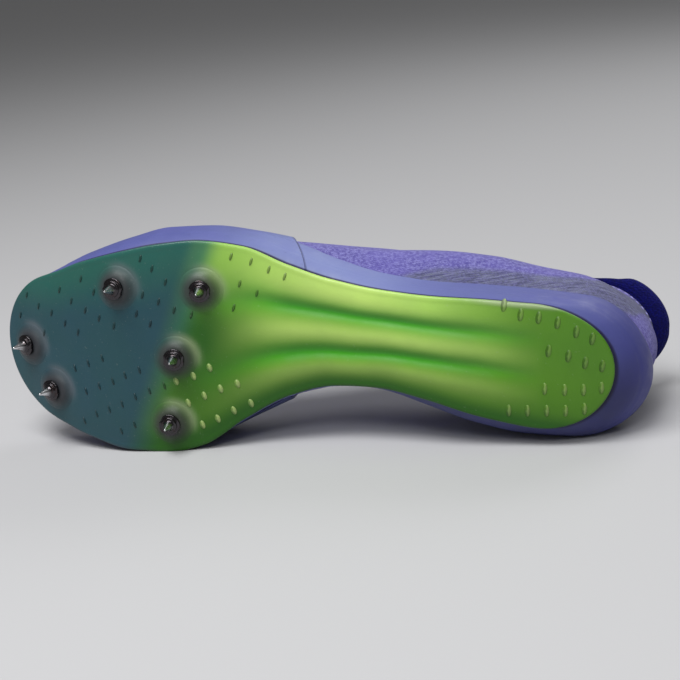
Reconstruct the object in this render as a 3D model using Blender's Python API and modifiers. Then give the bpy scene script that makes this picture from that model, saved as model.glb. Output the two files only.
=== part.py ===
"""Left track spike shoe, lying empty on its medial side.

The shoe is modelled upright in its own axes, x from heel to toe, y to the lateral side and z up,
with the ball and the heel of the plate on z = 0. An empty then lays it on its side.
"""

import math

import bmesh
import bpy
from mathutils import Matrix, Vector

# Lengths along the foot, in metres
PLATE_LENGTH = 0.262
HEEL_OVERHANG = 0.0130
COLLAR_OVERHANG = 0.0105
HEEL_SWELL = 0.0135
PLATE_HEEL_ROUND = 0.033
RIM_HEEL_ROUND = 0.026
PLATE_TOE_ROUND = 0.027
TOE_SETBACK = 0.004
TOE_TOP_SETBACK = 0.018
COLLAR_HEEL_ROUND = 0.022

# Widths of the plate
HEEL_WIDTH = 0.049
WAIST_WIDTH = 0.040
BALL_WIDTH = 0.088

# Heights
TOE_SPRING = 0.020
ARCH_RISE = 0.007
HEEL_BEVEL = 0.003
EDGE_LIFT = 0.0012
HEEL_FOAM = 0.013
BALL_FOAM = 0.0065
TOE_FOAM = 0.0032
RIM_HEIGHT = 0.010
INSTEP_HEIGHT = 0.0725
COLLAR_HEIGHT = 0.062
VAMP_HEIGHT = 0.045
SWELL_HEIGHT = 0.036

# Walls, layers and clearance
PLATE_THICKNESS = 0.0016
UPPER_WALL = 0.0016
INSOLE_THICKNESS = 0.003
TONGUE_THICKNESS = 0.0022
FEATHER_INSET = 0.0042
FIT_GAP = 0.0003
CUP_CLEARANCE = 1.4

# Shape of the upper's wall: share of its levels below the widest line, pulls of the curves
LOWER_SHARE = 0.36
WALL_FOOT_OUT = 0.15
WALL_PULL = 0.35
WALL_SHOULDER = 0.55

# Shape of the midsole's side: pulls of its curve
SIDE_OUT = 0.65
SIDE_FOOT_RISE = 0.16
SIDE_TOP_RISE = 0.5

# Channels along the plate's waist
CHANNEL_DEPTH = 0.0014
CHANNEL_WIDTH = 0.11
CHANNEL_TURN = (0.2, 0.4)
EDGE_LIFT_LIMIT = 1.2

# Spikes and their bosses
BOSS_FOOT_RADIUS = 0.0086
BOSS_FACE_RADIUS = 0.0056
BOSS_HEIGHT = 0.0022
BOSS_SHOULDER = 0.55
BOSS_ROOT = 0.35
SOCKET_RADIUS = 0.0028
SOCKET_TURN = 0.11
FLANGE_RADIUS = 0.0045
FLANGE_THICKNESS = 0.0012
SHOULDER_RADIUS = 0.0033
SHOULDER_THICKNESS = 0.0008
PIN_RADIUS = 0.0026
PIN_TIP_RADIUS = 0.0004
PIN_LENGTH = 0.0055
SHANK_LENGTH = 0.0029

# Insole
INSOLE_RELIEF = 0.0012
INSOLE_CUP = 0.35
INSOLE_RINGS = [0.0, 0.7, 1.0]

# Collar lining and its lip
COLLAR_FRONT = 0.30
COLLAR_TAPER = 0.08
COLLAR_END_LIFT = 0.0012
COLLAR_END_TUCK = (-2.0, -0.7)
LINING_THICKNESS = 0.0028
LINING_EDGE = 0.45
LINING_ROWS = 3
LINING_LEAST = 0.55
LIP_RISE = 0.013
LIP_FLARE = 0.0062
LIP_THICKNESS = 0.0052
LIP_ROOT = 0.0010
LIP_BULGE = 0.0006
LIP_CREST = 0.0004
LIP_INNER = 0.0012

# Rand over the forefoot
RAND_THICKNESS = 0.0007
RAND_HEIGHT = 0.011
RAND_REAR = 0.545
RAND_RELIEF = 0.06
RAND_SHARE = 0.45
RAND_LIFTS = [0.0, 0.25, 0.5, 0.75, 1.0]
RAND_CLEARANCE = 1.3

# Tongue
TONGUE_FRONT = 0.735
TONGUE_BACK = 0.405
TONGUE_FREE = 0.024
TONGUE_CROWN = 0.0012
TONGUE_SINK = 0.0016
TONGUE_ROWS = 8
TONGUE_TUCK = [0.007, 0.0035, 0.0005]
TONGUE_BRIDGE = (0.3, 0.7)
TONGUE_LEAN = (-0.92, 0.0, 0.38)
TONGUE_END_ROWS = [(0.33, 0.93), (0.66, 0.88), (0.9, 0.76), (1.0, 0.52)]

# Lacing
LACE_CLEARANCE = 0.0016
LACE_CROWN = 0.0016
LACE_EDGE = 0.22
EYELET_PAIRS = 6
EYELET_RADIUS = 0.0019
EYELET_INSET = 0.0065
EYELET_FIRST = 0.41
EYELET_LAST = 0.655
LACE_WIDTH = 0.0034
LACE_THICKNESS = 0.0013

# Floor under the medial side: touches in heel and ball widths, lean and clearances
FLOOR_HEEL_SHARE = 0.10
FLOOR_BALL_SHARE = 0.70
FLOOR_HEEL_REACH = 0.626
FLOOR_BALL_REACH = 0.5060
FLOOR_LEAN = 0.07
RIM_LIP = 0.0015
RIM_LIP_BLEND = 0.009

# Facets
AROUND = 32
ROUND_SIDES = 16
HOLE_SIDES = 10
RINGS_ACROSS = [0.0, 0.24, 0.46, 0.68, 0.88, 1.0]
BED_RINGS = [0.5, 0.0]
SPINE_END = 0.7
SIDE_LEVELS = [0.2, 0.42, 0.66, 0.86, 1.0]
WALL_LEVELS = 9
CUP_ROWS = 3
CUP_SPREAD = 0.02
NORMAL_STEP = 0.004
SLOPE_STEP = 0.004
EDGE_STEP = 0.02
HALVINGS = 24
LEVEL_STEP = 0.01

WIDTH = {"heel": HEEL_WIDTH, "waist": WAIST_WIDTH, "ball": BALL_WIDTH}
RISE = {"spring": TOE_SPRING, "arch": ARCH_RISE, "bevel": HEEL_BEVEL}
FOAM = {"heel": HEEL_FOAM, "ball": BALL_FOAM, "toe": TOE_FOAM}
TOP = {"collar": COLLAR_HEIGHT, "instep": INSTEP_HEIGHT, "vamp": VAMP_HEIGHT}

# Plate outline: share of the length, width it follows, lateral edge, medial edge
PLATE_ROWS = [
    (0.00, "heel", 0.512, -0.549),
    (0.06, "heel", 0.498, -0.531),
    (0.12, "heel", 0.502, -0.502),
    (0.20, "heel", 0.520, -0.433),
    (0.28, "waist", 0.645, -0.400),
    (0.36, "waist", 0.675, -0.330),
    (0.43, "waist", 0.743, -0.353),
    (0.50, "ball", 0.401, -0.217),
    (0.57, "ball", 0.482, -0.332),
    (0.64, "ball", 0.507, -0.468),
    (0.70, "ball", 0.488, -0.508),
    (0.76, "ball", 0.450, -0.508),
    (0.84, "ball", 0.383, -0.464),
    (0.92, "ball", 0.302, -0.396),
    (1.00, "ball", 0.288, -0.360),
]

# Underside of the plate: share of the length, rise it follows, share of that rise
BOTTOM_ROWS = [
    (0.00, "bevel", 1.0),
    (0.05, "bevel", 0.27),
    (0.10, "bevel", 0.0),
    (0.24, "arch", 0.0),
    (0.34, "arch", 0.5),
    (0.44, "arch", 1.0),
    (0.54, "arch", 0.80),
    (0.63, "arch", 0.28),
    (0.70, "arch", 0.0),
    (0.75, "spring", 0.0),
    (0.82, "spring", 0.13),
    (0.90, "spring", 0.43),
    (0.96, "spring", 0.77),
    (1.00, "spring", 1.0),
]

# Foam between plate and foot bed: share of the length, foam it follows, share of it
FOAM_ROWS = [
    (-0.05, "heel", 1.0),
    (0.20, "heel", 1.0),
    (0.36, "heel", 0.80),
    (0.50, "ball", 1.30),
    (0.64, "ball", 1.04),
    (0.76, "ball", 0.92),
    (0.88, "toe", 1.40),
    (1.00, "toe", 1.0),
]

# Midsole rim: share of the length, width it follows, lateral, medial, then how far the rim rises on
# each side, in rim heights
RIM_ROWS = [
    (-0.050, "heel", 0.370, -0.620, 0.80, 0.80),
    (0.00, "heel", 0.450, -0.632, 0.74, 0.74),
    (0.06, "heel", 0.508, -0.640, 0.65, 0.68),
    (0.12, "heel", 0.543, -0.643, 0.58, 0.64),
    (0.20, "heel", 0.565, -0.582, 0.52, 0.60),
    (0.28, "waist", 0.710, -0.553, 0.46, 0.58),
    (0.36, "waist", 0.765, -0.400, 0.45, 0.60),
    (0.43, "waist", 0.870, -0.405, 0.58, 0.66),
    (0.50, "ball", 0.466, -0.236, 0.88, 0.76),
    (0.57, "ball", 0.518, -0.345, 1.05, 0.86),
    (0.64, "ball", 0.545, -0.472, 1.10, 0.92),
    (0.70, "ball", 0.538, -0.520, 1.04, 0.92),
    (0.76, "ball", 0.492, -0.518, 0.96, 0.90),
    (0.84, "ball", 0.405, -0.460, 0.86, 0.86),
    (0.92, "ball", 0.301, -0.377, 0.78, 0.78),
    (0.985, "ball", 0.261, -0.330, 0.70, 0.70),
]

# Widest line of the upper: share of the length, width it follows, lateral, medial, share of the
# swell height
SWELL_ROWS = [
    (-0.052, "heel", 0.410, -0.430, 1.06),
    (0.00, "heel", 0.520, -0.540, 1.04),
    (0.06, "heel", 0.596, -0.610, 1.00),
    (0.12, "heel", 0.637, -0.618, 1.00),
    (0.20, "heel", 0.730, -0.570, 1.00),
    (0.27, "waist", 0.930, -0.585, 0.98),
    (0.36, "waist", 0.935, -0.490, 0.95),
    (0.43, "waist", 0.955, -0.500, 0.92),
    (0.50, "ball", 0.456, -0.268, 0.85),
    (0.57, "ball", 0.498, -0.362, 0.76),
    (0.64, "ball", 0.525, -0.460, 0.69),
    (0.70, "ball", 0.516, -0.498, 0.66),
    (0.76, "ball", 0.472, -0.494, 0.65),
    (0.84, "ball", 0.392, -0.443, 0.69),
    (0.92, "ball", 0.294, -0.364, 0.80),
    (0.985, "ball", 0.252, -0.312, 0.90),
]

# Collar, throat and vamp ridge: share of the length, lateral, medial (in ball widths), height it follows,
# share of that height, then how far the wall's upper end leans out and how far it hangs down
TOP_ROWS = [
    (-0.040, 0.203, -0.178, "collar", 1.00, 0.00, 0.40),
    (0.00, 0.232, -0.214, "collar", 0.975, 0.05, 0.42),
    (0.06, 0.259, -0.252, "collar", 0.915, 0.10, 0.45),
    (0.13, 0.301, -0.278, "collar", 0.860, 0.15, 0.45),
    (0.20, 0.330, -0.261, "collar", 0.875, 0.22, 0.42),
    (0.27, 0.324, -0.193, "instep", 0.830, 0.35, 0.36),
    (0.33, 0.255, -0.114, "instep", 0.945, 0.42, 0.32),
    (0.37, 0.199, -0.068, "instep", 1.00, 0.45, 0.30),
    (0.44, 0.176, -0.051, "instep", 0.945, 0.48, 0.26),
    (0.52, 0.142, -0.051, "instep", 0.845, 0.50, 0.20),
    (0.59, 0.090, -0.057, "instep", 0.748, 0.54, 0.10),
    (0.635, 0.028, -0.034, "vamp", 1.12, 0.58, 0.02),
    (0.65, -0.011, -0.011, "vamp", 1.09, 0.58, 0.00),
    (0.72, -0.034, -0.034, "vamp", 1.00, 0.58, 0.00),
    (0.80, -0.060, -0.060, "vamp", 0.945, 0.58, 0.00),
    (0.87, -0.066, -0.066, "vamp", 0.925, 0.58, 0.00),
    (0.93, -0.057, -0.057, "vamp", 0.915, 0.58, 0.00),
]

# Channels: share across from the medial to the lateral edge at the waist and at the heel
CHANNELS = [(0.40, 0.46), (-0.33, -0.13)]
CHANNEL_ROWS = [(0.10, 0.0), (0.22, 0.75), (0.32, 1.0), (0.48, 1.0), (0.60, 0.25), (0.66, 0.0)]

# Collar lip: share of the length, share of its full rise and flare on the lateral and medial side
LIP_ROWS = [
    (0.000, 1.00, 1.00),
    (0.015, 0.97, 0.88),
    (0.030, 0.91, 0.66),
    (0.045, 0.80, 0.48),
    (0.065, 0.44, 0.34),
    (0.100, 0.25, 0.24),
    (0.160, 0.19, 0.18),
    (0.340, 0.17, 0.17),
]

# Spikes: share of the length, place across in ball widths
SPIKE_ROWS = [
    (0.949, -0.050),
    (0.899, -0.252),
    (0.770, 0.280),
    (0.632, 0.282),
    (0.676, -0.042),
    (0.687, -0.357),
]


def floor_side(x, z):
    """Place across of the floor that the medial side lies on."""
    heel, ball = FLOOR_HEEL_SHARE * PLATE_LENGTH, FLOOR_BALL_SHARE * PLATE_LENGTH
    level = FLOOR_LEAN * (SWELL_HEIGHT - HEEL_FOAM)
    heel_side = -FLOOR_HEEL_REACH * HEEL_WIDTH - level
    ball_side = -FLOOR_BALL_REACH * BALL_WIDTH
    slope = (ball_side - heel_side) / (ball - heel)
    return heel_side + slope * (x - heel) + FLOOR_LEAN * z


def floor_down():
    """Direction square to that floor, out of the shoe."""
    slope = floor_side(1.0, 0.0) - floor_side(0.0, 0.0)
    return Vector((slope, -1.0, FLOOR_LEAN)).normalized()


def pressed(place, clearance=0.0):
    """The place, or where the floor has pushed it in to."""
    limit = floor_side(place.x, place.z) - clearance / floor_down().y
    return Vector((place.x, max(place.y, limit), place.z))


def curve(points):
    """A smooth line through the points that never overshoots them, as a function."""
    xs = [p[0] for p in points]
    ys = [p[1] for p in points]
    steps = [b - a for a, b in zip(xs, xs[1:])]
    slopes = [(ys[i + 1] - ys[i]) / steps[i] for i in range(len(steps))]
    tangents = [slopes[0]]
    for i in range(1, len(slopes)):
        before, after = slopes[i - 1], slopes[i]
        if before * after <= 0:
            tangents.append(0.0)
            continue
        first = 2 * steps[i] + steps[i - 1]
        second = steps[i] + 2 * steps[i - 1]
        tangents.append((first + second) / (first / before + second / after))
    tangents.append(slopes[-1])

    def at(x):
        x = min(max(x, xs[0]), xs[-1])
        i = 0
        while i < len(steps) - 1 and x > xs[i + 1]:
            i += 1
        t = (x - xs[i]) / steps[i]
        start = (1 + 2 * t) * (1 - t) ** 2 * ys[i] + t * (1 - t) ** 2 * steps[i] * tangents[i]
        end = t * t * (3 - 2 * t) * ys[i + 1] + t * t * (t - 1) * steps[i] * tangents[i + 1]
        return start + end

    return at


def edges(rows):
    """Lateral and medial edge of an outline table as functions of the share of the length."""
    return tuple(curve([(r[0], WIDTH[r[1]] * r[side]) for r in rows]) for side in (2, 3))


plate_edges = edges(PLATE_ROWS)
rim_edges = edges(RIM_ROWS)
swell_edges = edges(SWELL_ROWS)
top_edges = tuple(curve([(r[0], BALL_WIDTH * r[side]) for r in TOP_ROWS]) for side in (1, 2))
bottom_height = curve([(r[0], RISE[r[1]] * r[2]) for r in BOTTOM_ROWS])
foam_height = curve([(r[0], FOAM[r[1]] * r[2]) for r in FOAM_ROWS])
rim_rise = tuple(curve([(r[0], RIM_HEIGHT * r[side]) for r in RIM_ROWS]) for side in (4, 5))
swell_height = curve([(r[0], SWELL_HEIGHT * r[4]) for r in SWELL_ROWS])
top_height = curve([(r[0], TOP[r[3]] * r[4]) for r in TOP_ROWS])
top_reach = curve([(r[0], r[5]) for r in TOP_ROWS])
top_drop = curve([(r[0], r[6]) for r in TOP_ROWS])
channel_share = curve(CHANNEL_ROWS)
lip_weights = [curve([(r[0], r[column]) for r in LIP_ROWS]) for column in (1, 2)]


def end_rounding(x, heel, toe, heel_round, toe_round):
    """Share of the width left where an outline closes in an ellipse at each end."""
    share = 1.0
    for distance, radius in ((x - heel, heel_round), (toe - x, toe_round)):
        if radius > 0 and distance < radius:
            share *= math.sqrt(max(0.0, 1 - (1 - distance / radius) ** 2))
    return share


def stations():
    """Side and share for each place around an outline: heel, lateral side, toe, medial side."""
    places = []
    for k in range(2 * AROUND):
        side = 1 if k <= AROUND else -1
        turn = k if k <= AROUND else 2 * AROUND - k
        places.append((side, (1 - math.cos(math.pi * turn / AROUND)) / 2))
    return places


def outline_point(line, side, share, inset=0.0):
    """Place on a closed outline, moved inwards by inset."""
    sides, heel, toe, heel_round, toe_round = line
    heel, toe = heel + inset, toe - inset
    x = heel + share * (toe - heel)
    lateral, medial = (edge(x / PLATE_LENGTH) for edge in sides)
    centre = (lateral + medial) / 2
    half = ((lateral - medial) / 2 - inset) * end_rounding(x, heel, toe, heel_round, toe_round)
    return Vector((x, centre + side * half, 0.0))


PLATE_LINE = (plate_edges, 0.0, PLATE_LENGTH, PLATE_HEEL_ROUND, PLATE_TOE_ROUND)
RIM_LINE = (
    rim_edges,
    -HEEL_OVERHANG,
    PLATE_LENGTH - TOE_SETBACK,
    RIM_HEEL_ROUND,
    PLATE_TOE_ROUND,
)
SWELL_LINE = (
    swell_edges,
    -HEEL_SWELL,
    PLATE_LENGTH - TOE_SETBACK - UPPER_WALL,
    PLATE_HEEL_ROUND,
    PLATE_TOE_ROUND,
)
TOP_LINE = (top_edges, -COLLAR_OVERHANG, PLATE_LENGTH - TOE_TOP_SETBACK, COLLAR_HEEL_ROUND, 0.0)


def plate_bottom(x, y):
    """Height of the plate's underside, with its lifted edges and the channels of the waist."""
    share = x / PLATE_LENGTH
    lateral, medial = (edge(share) for edge in plate_edges)
    across = (2 * y - lateral - medial) / (lateral - medial)
    height = bottom_height(share) + EDGE_LIFT * min(abs(across), EDGE_LIFT_LIMIT) ** 4
    start, end = CHANNEL_TURN
    lean = min(max((share - start) / (end - start), 0.0), 1.0)
    for at_waist, at_heel in CHANNELS:
        middle = at_heel + (at_waist - at_heel) * lean
        dip = math.exp(-(((across - middle) / CHANNEL_WIDTH) ** 2))
        height += CHANNEL_DEPTH * channel_share(share) * dip
    return height


def bed_height(x):
    """Height of the midsole's foot bed."""
    share = x / PLATE_LENGTH
    return bottom_height(share) + PLATE_THICKNESS + FIT_GAP + foam_height(share)


def rim_height(x, side):
    share = x / PLATE_LENGTH
    return bed_height(x) + rim_rise[0 if side > 0 else 1](share)


def bezier(a, b, c, d, t):
    s = 1 - t
    return a * s**3 + b * (3 * s * s * t) + c * (3 * s * t * t) + d * t**3


def flat(v):
    return Vector((v.x, v.y, 0.0))


def upper_point(side, share, level):
    """Outer surface of the upper where the floor presses on it."""
    place = wall_point(side, share, level)
    if side > 0:
        return place
    above = place.z - rim_height(place.x, side)
    blend = min(max(1 - above / RIM_LIP_BLEND, 0.0), 1.0)
    clearance = RIM_LIP * blend * blend * (3 - 2 * blend)
    if place.x > (RAND_REAR - RAND_RELIEF) * PLATE_LENGTH:
        clearance = max(clearance, 3 * FIT_GAP + RAND_THICKNESS)
    return pressed(place, clearance)


def wall_point(side, share, level):
    """Free outer surface of the upper: level 0 at the feather line, 1 at its upper edge or ridge."""
    feather = outline_point(RIM_LINE, side, share, FEATHER_INSET)
    feather.z = bed_height(feather.x) + FIT_GAP
    swell = outline_point(SWELL_LINE, side, share)
    swell.z = swell_height(swell.x / PLATE_LENGTH)
    top = outline_point(TOP_LINE, side, share)
    along = top.x / PLATE_LENGTH
    top.z = top_height(along)
    if level < LOWER_SHARE:
        rise = Vector((0, 0, swell.z - feather.z))
        out = flat(swell - feather)
        return bezier(
            feather,
            feather + out * WALL_FOOT_OUT + rise * WALL_PULL,
            swell - rise * WALL_PULL,
            swell,
            level / LOWER_SHARE,
        )
    rise = Vector((0, 0, top.z - swell.z))
    out = flat(swell - top)
    return bezier(
        swell,
        swell + rise * WALL_SHOULDER,
        top + out * top_reach(along) - rise * top_drop(along),
        top,
        (level - LOWER_SHARE) / (1 - LOWER_SHARE),
    )


def upper_normal(side, share, level):
    """Outward normal of the upper's outer surface."""
    low, high = max(level - NORMAL_STEP, 0.0), min(level + NORMAL_STEP, 1.0)
    before, after = max(share - NORMAL_STEP, 1e-4), min(share + NORMAL_STEP, 1 - 1e-4)
    up = upper_point(side, share, high) - upper_point(side, share, low)
    along = upper_point(side, after, level) - upper_point(side, before, level)
    return (up.cross(along) * side).normalized()


def level_at_height(side, share, height):
    """Level of the upper's wall at a height, below its widest line."""
    low, high = 0.0, 1.0
    for _ in range(HALVINGS):
        middle = (low + high) / 2
        if upper_point(side, share, middle).z < height:
            low = middle
        else:
            high = middle
    return low


def material(name, colour, roughness, metallic=0.0):
    made = bpy.data.materials.new(name)
    made.use_nodes = True
    shader = made.node_tree.nodes["Principled BSDF"]
    shader.inputs["Base Color"].default_value = (*colour, 1.0)
    shader.inputs["Roughness"].default_value = roughness
    shader.inputs["Metallic"].default_value = metallic
    return made


def mesh_object(name, rows, finish, collection, loop=True):
    """Loft through rows of points, closed round if loop; points that coincide are welded."""
    build = bmesh.new()
    verts = [[build.verts.new(p) for p in row] for row in rows]
    count = len(rows[0])
    for row, following in zip(verts, verts[1:]):
        for i in range(count if loop else count - 1):
            j = (i + 1) % count
            build.faces.new((row[i], row[j], following[j], following[i]))
    bmesh.ops.remove_doubles(build, verts=build.verts, dist=1e-6)
    bmesh.ops.dissolve_degenerate(build, edges=build.edges, dist=1e-6)
    bmesh.ops.triangulate(build, faces=build.faces, quad_method="SHORT_EDGE")
    bmesh.ops.recalc_face_normals(build, faces=build.faces)
    data = bpy.data.meshes.new(name)
    build.to_mesh(data)
    build.free()
    data.materials.append(finish)
    data.shade_smooth()
    made = bpy.data.objects.new(name, data)
    collection.objects.link(made)
    return made


def spine_point(line, share):
    """Middle line that the rings of a sole close on."""
    sides, heel, toe, heel_round, toe_round = line
    x = heel + share * (toe - heel)
    x = min(max(x, heel + SPINE_END * heel_round), toe - SPINE_END * toe_round)
    lateral, medial = (edge(x / PLATE_LENGTH) for edge in sides)
    return Vector((x, (lateral + medial) / 2, 0.0))


def ring_across(line, across, inset=0.0):
    """Ring of places at a share of the way from the middle line to the outline."""
    ring = []
    for side, share in stations():
        middle = spine_point(line, share)
        edge = outline_point(line, side, share, inset)
        ring.append(middle.lerp(edge, across))
    return ring


def lifted(ring, height):
    return [pressed(Vector((p.x, p.y, height(p.x, p.y)))) for p in ring]


def add_boolean(target, cutter, operation):
    modifier = target.modifiers.new(cutter.name, "BOOLEAN")
    modifier.operation = operation
    modifier.object = cutter
    modifier.solver = "EXACT"


def hide(cutter):
    cutter.hide_render = True
    cutter.display_type = "WIRE"


def turned(name, profile, sides, finish, collection):
    """Turned solid about z from a profile of (radius, height), top to bottom on its outer side."""
    build = bmesh.new()
    verts = [build.verts.new((radius, 0.0, height)) for radius, height in profile]
    for a, b in zip(verts, verts[1:]):
        build.edges.new((a, b))
    data = bpy.data.meshes.new(name)
    build.to_mesh(data)
    build.free()
    data.materials.append(finish)
    made = bpy.data.objects.new(name, data)
    collection.objects.link(made)
    screw = made.modifiers.new("turn", "SCREW")
    screw.steps = screw.render_steps = sides
    screw.use_merge_vertices = True
    screw.merge_threshold = 0.00002
    screw.use_smooth_shade = True
    return made


def spike_frame(share, across):
    """Place and axes of a spike: z points out of the sole."""
    x, y = share * PLATE_LENGTH, across * BALL_WIDTH
    step = SLOPE_STEP
    slope_x = (plate_bottom(x + step, y) - plate_bottom(x - step, y)) / (2 * step)
    slope_y = (plate_bottom(x, y + step) - plate_bottom(x, y - step)) / (2 * step)
    out = Vector((slope_x, slope_y, -1.0)).normalized()
    turn = out.to_track_quat("Z", "X").to_matrix().to_4x4()
    return Matrix.Translation((x, y, plate_bottom(x, y))) @ turn


def build_plate(finish, parts, cutters):
    """Full-length plate with raised bosses and a socket through each of them."""
    under = [lifted(ring_across(PLATE_LINE, t), plate_bottom) for t in RINGS_ACROSS]
    over = [[pressed(p + Vector((0, 0, PLATE_THICKNESS))) for p in ring] for ring in reversed(under)]
    plate = mesh_object("outsole_plate", under + over, finish, parts)
    for number, row in enumerate(SPIKE_ROWS, 1):
        frame = spike_frame(*row)
        root = -BOSS_ROOT * PLATE_THICKNESS
        profile = [
            (0.0, BOSS_HEIGHT),
            (BOSS_FACE_RADIUS, BOSS_HEIGHT),
            ((BOSS_FACE_RADIUS + BOSS_FOOT_RADIUS) / 2, BOSS_SHOULDER * BOSS_HEIGHT),
            (BOSS_FOOT_RADIUS, 0.0),
            (BOSS_FOOT_RADIUS, root),
            (0.0, root),
        ]
        boss = turned(f"boss_{number}", profile, ROUND_SIDES, finish, cutters)
        boss.matrix_world = frame
        hide(boss)
        add_boolean(plate, boss, "UNION")
    for number, row in enumerate(SPIKE_ROWS, 1):
        reach = BOSS_HEIGHT + 2 * PLATE_THICKNESS
        profile = [
            (0.0, reach),
            (SOCKET_RADIUS, reach),
            (SOCKET_RADIUS, -reach),
            (0.0, -reach),
        ]
        socket = turned(f"socket_{number}", profile, HOLE_SIDES, finish, cutters)
        socket.matrix_world = spike_frame(*row) @ Matrix.Rotation(SOCKET_TURN, 4, "Z")
        hide(socket)
        add_boolean(plate, socket, "DIFFERENCE")
    return plate


def build_spikes(finish, parts):
    """Screw-in spikes: shank in the socket, flange on the boss, shoulder and cone."""
    made = []
    seat = BOSS_HEIGHT + FIT_GAP
    flange_top = seat + FLANGE_THICKNESS
    shoulder_top = flange_top + SHOULDER_THICKNESS
    profile = [
        (0.0, shoulder_top + PIN_LENGTH),
        (PIN_TIP_RADIUS, shoulder_top + PIN_LENGTH),
        (PIN_RADIUS, shoulder_top),
        (SHOULDER_RADIUS, shoulder_top),
        (SHOULDER_RADIUS, flange_top),
        (FLANGE_RADIUS, flange_top),
        (FLANGE_RADIUS, seat),
        (SOCKET_RADIUS - FIT_GAP, seat),
        (SOCKET_RADIUS - FIT_GAP, seat - SHANK_LENGTH),
        (0.0, seat - SHANK_LENGTH),
    ]
    for number, row in enumerate(SPIKE_ROWS, 1):
        spike = turned(f"spike_{number}", profile, HOLE_SIDES, finish, parts)
        spike.matrix_world = spike_frame(*row)
        made.append(spike)
    return made


def build_midsole(finish, parts):
    """Foam from the plate to the rim that cups the upper, with its foot bed."""
    gap = PLATE_THICKNESS + FIT_GAP

    def under(x, y):
        return plate_bottom(x, y) + gap

    rings = [lifted(ring_across(PLATE_LINE, t), under) for t in RINGS_ACROSS]
    low = rings[-1]
    walls = [[] for _ in SIDE_LEVELS]
    inner = [[] for _ in range(CUP_ROWS)]
    bed = []
    for (side, share), foot in zip(stations(), low):
        rim = outline_point(RIM_LINE, side, share)
        rim.z = rim_height(rim.x, side)
        rise = Vector((0, 0, rim.z - foot.z))
        out = flat(rim - foot)
        for wall, level in zip(walls, SIDE_LEVELS):
            low_pull = foot + out * SIDE_OUT + rise * SIDE_FOOT_RISE
            wall.append(pressed(bezier(foot, low_pull, rim - rise * SIDE_TOP_RISE, rim, level)))
        level = level_at_height(side, share, rim.z)
        for row, ring in enumerate(inner):
            height = level
            if row:
                height = min(level * (1 - CUP_SPREAD * row), (CUP_ROWS - row) / WALL_LEVELS)
            out = upper_normal(side, share, height)
            ring.append(upper_point(side, share, height) + out * CUP_CLEARANCE * FIT_GAP)
        feather = outline_point(RIM_LINE, side, share, FEATHER_INSET - FIT_GAP)
        feather.z = bed_height(feather.x)
        bed.append(feather)
    rings += walls + inner + [bed]
    for across in BED_RINGS:
        ring = ring_across(RIM_LINE, across, FEATHER_INSET)
        rings.append(lifted(ring, lambda x, y: bed_height(x)))
    return mesh_object("midsole", rings, finish, parts)


def build_upper(finish, parts, cutters):
    """One hollow wall, open at the collar, throat and underneath, with punched eyelets."""
    levels = [i / WALL_LEVELS for i in range(WALL_LEVELS + 1)]
    rings = [[upper_point(side, share, level) for side, share in stations()] for level in levels]
    upper = mesh_object("upper", rings, finish, parts)
    wall = upper.modifiers.new("wall", "SOLIDIFY")
    wall.thickness = UPPER_WALL
    wall.offset = -1.0
    wall.use_even_offset = True
    holes = bmesh.new()
    for side in (1, -1):
        for place, out in eyelets(side):
            turn = out.to_track_quat("Z", "X").to_matrix().to_4x4()
            bmesh.ops.create_cone(
                holes,
                cap_ends=True,
                segments=8,
                radius1=EYELET_RADIUS,
                radius2=EYELET_RADIUS,
                depth=6 * UPPER_WALL,
                matrix=Matrix.Translation(place) @ turn,
            )
    data = bpy.data.meshes.new("eyelet_holes")
    holes.to_mesh(data)
    holes.free()
    data.materials.append(finish)
    punch = bpy.data.objects.new("eyelet_holes", data)
    cutters.objects.link(punch)
    hide(punch)
    add_boolean(upper, punch, "DIFFERENCE")
    return upper


def level_below(side, share, distance):
    """Level of the wall at a distance down from its upper edge."""
    level, run = 1.0, 0.0
    place = upper_point(side, share, 1.0)
    while run < distance and level > LEVEL_STEP:
        level -= LEVEL_STEP
        lower = upper_point(side, share, level)
        run += (lower - place).length
        place = lower
    return level


def eyelet_share(number):
    return EYELET_FIRST + (EYELET_LAST - EYELET_FIRST) * number / (EYELET_PAIRS - 1)


def eyelets(side):
    """Centre and outward direction of each eyelet on one side of the throat, front one last."""
    found = []
    for k in range(EYELET_PAIRS):
        share = eyelet_share(k)
        level = level_below(side, share, EYELET_INSET)
        out = upper_normal(side, share, level)
        found.append((upper_point(side, share, level) - out * UPPER_WALL / 2, out))
    return found


def capped(rows):
    """Rows with both ends closed on their own middles."""
    ends = []
    for row in (rows[0], rows[-1]):
        middle = sum(row, Vector((0, 0, 0))) / len(row)
        ends.append([middle] * len(row))
    return [ends[0]] + rows + [ends[1]]


def build_insole(finish, parts):
    """Sock liner on the foot bed, with a raised edge."""
    inset = FEATHER_INSET + UPPER_WALL + 2 * FIT_GAP + INSOLE_RELIEF
    rings = []
    for across in INSOLE_RINGS:
        ring = ring_across(RIM_LINE, across, inset)
        rings.append(lifted(ring, lambda x, y: bed_height(x) + FIT_GAP))
    for across in reversed(INSOLE_RINGS):
        ring = ring_across(RIM_LINE, across, inset)
        cup = INSOLE_THICKNESS * (1 + INSOLE_CUP * across**4)
        rings.append(lifted(ring, lambda x, y: bed_height(x) + FIT_GAP + cup))
    return mesh_object("insole", rings, finish, parts)


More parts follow.
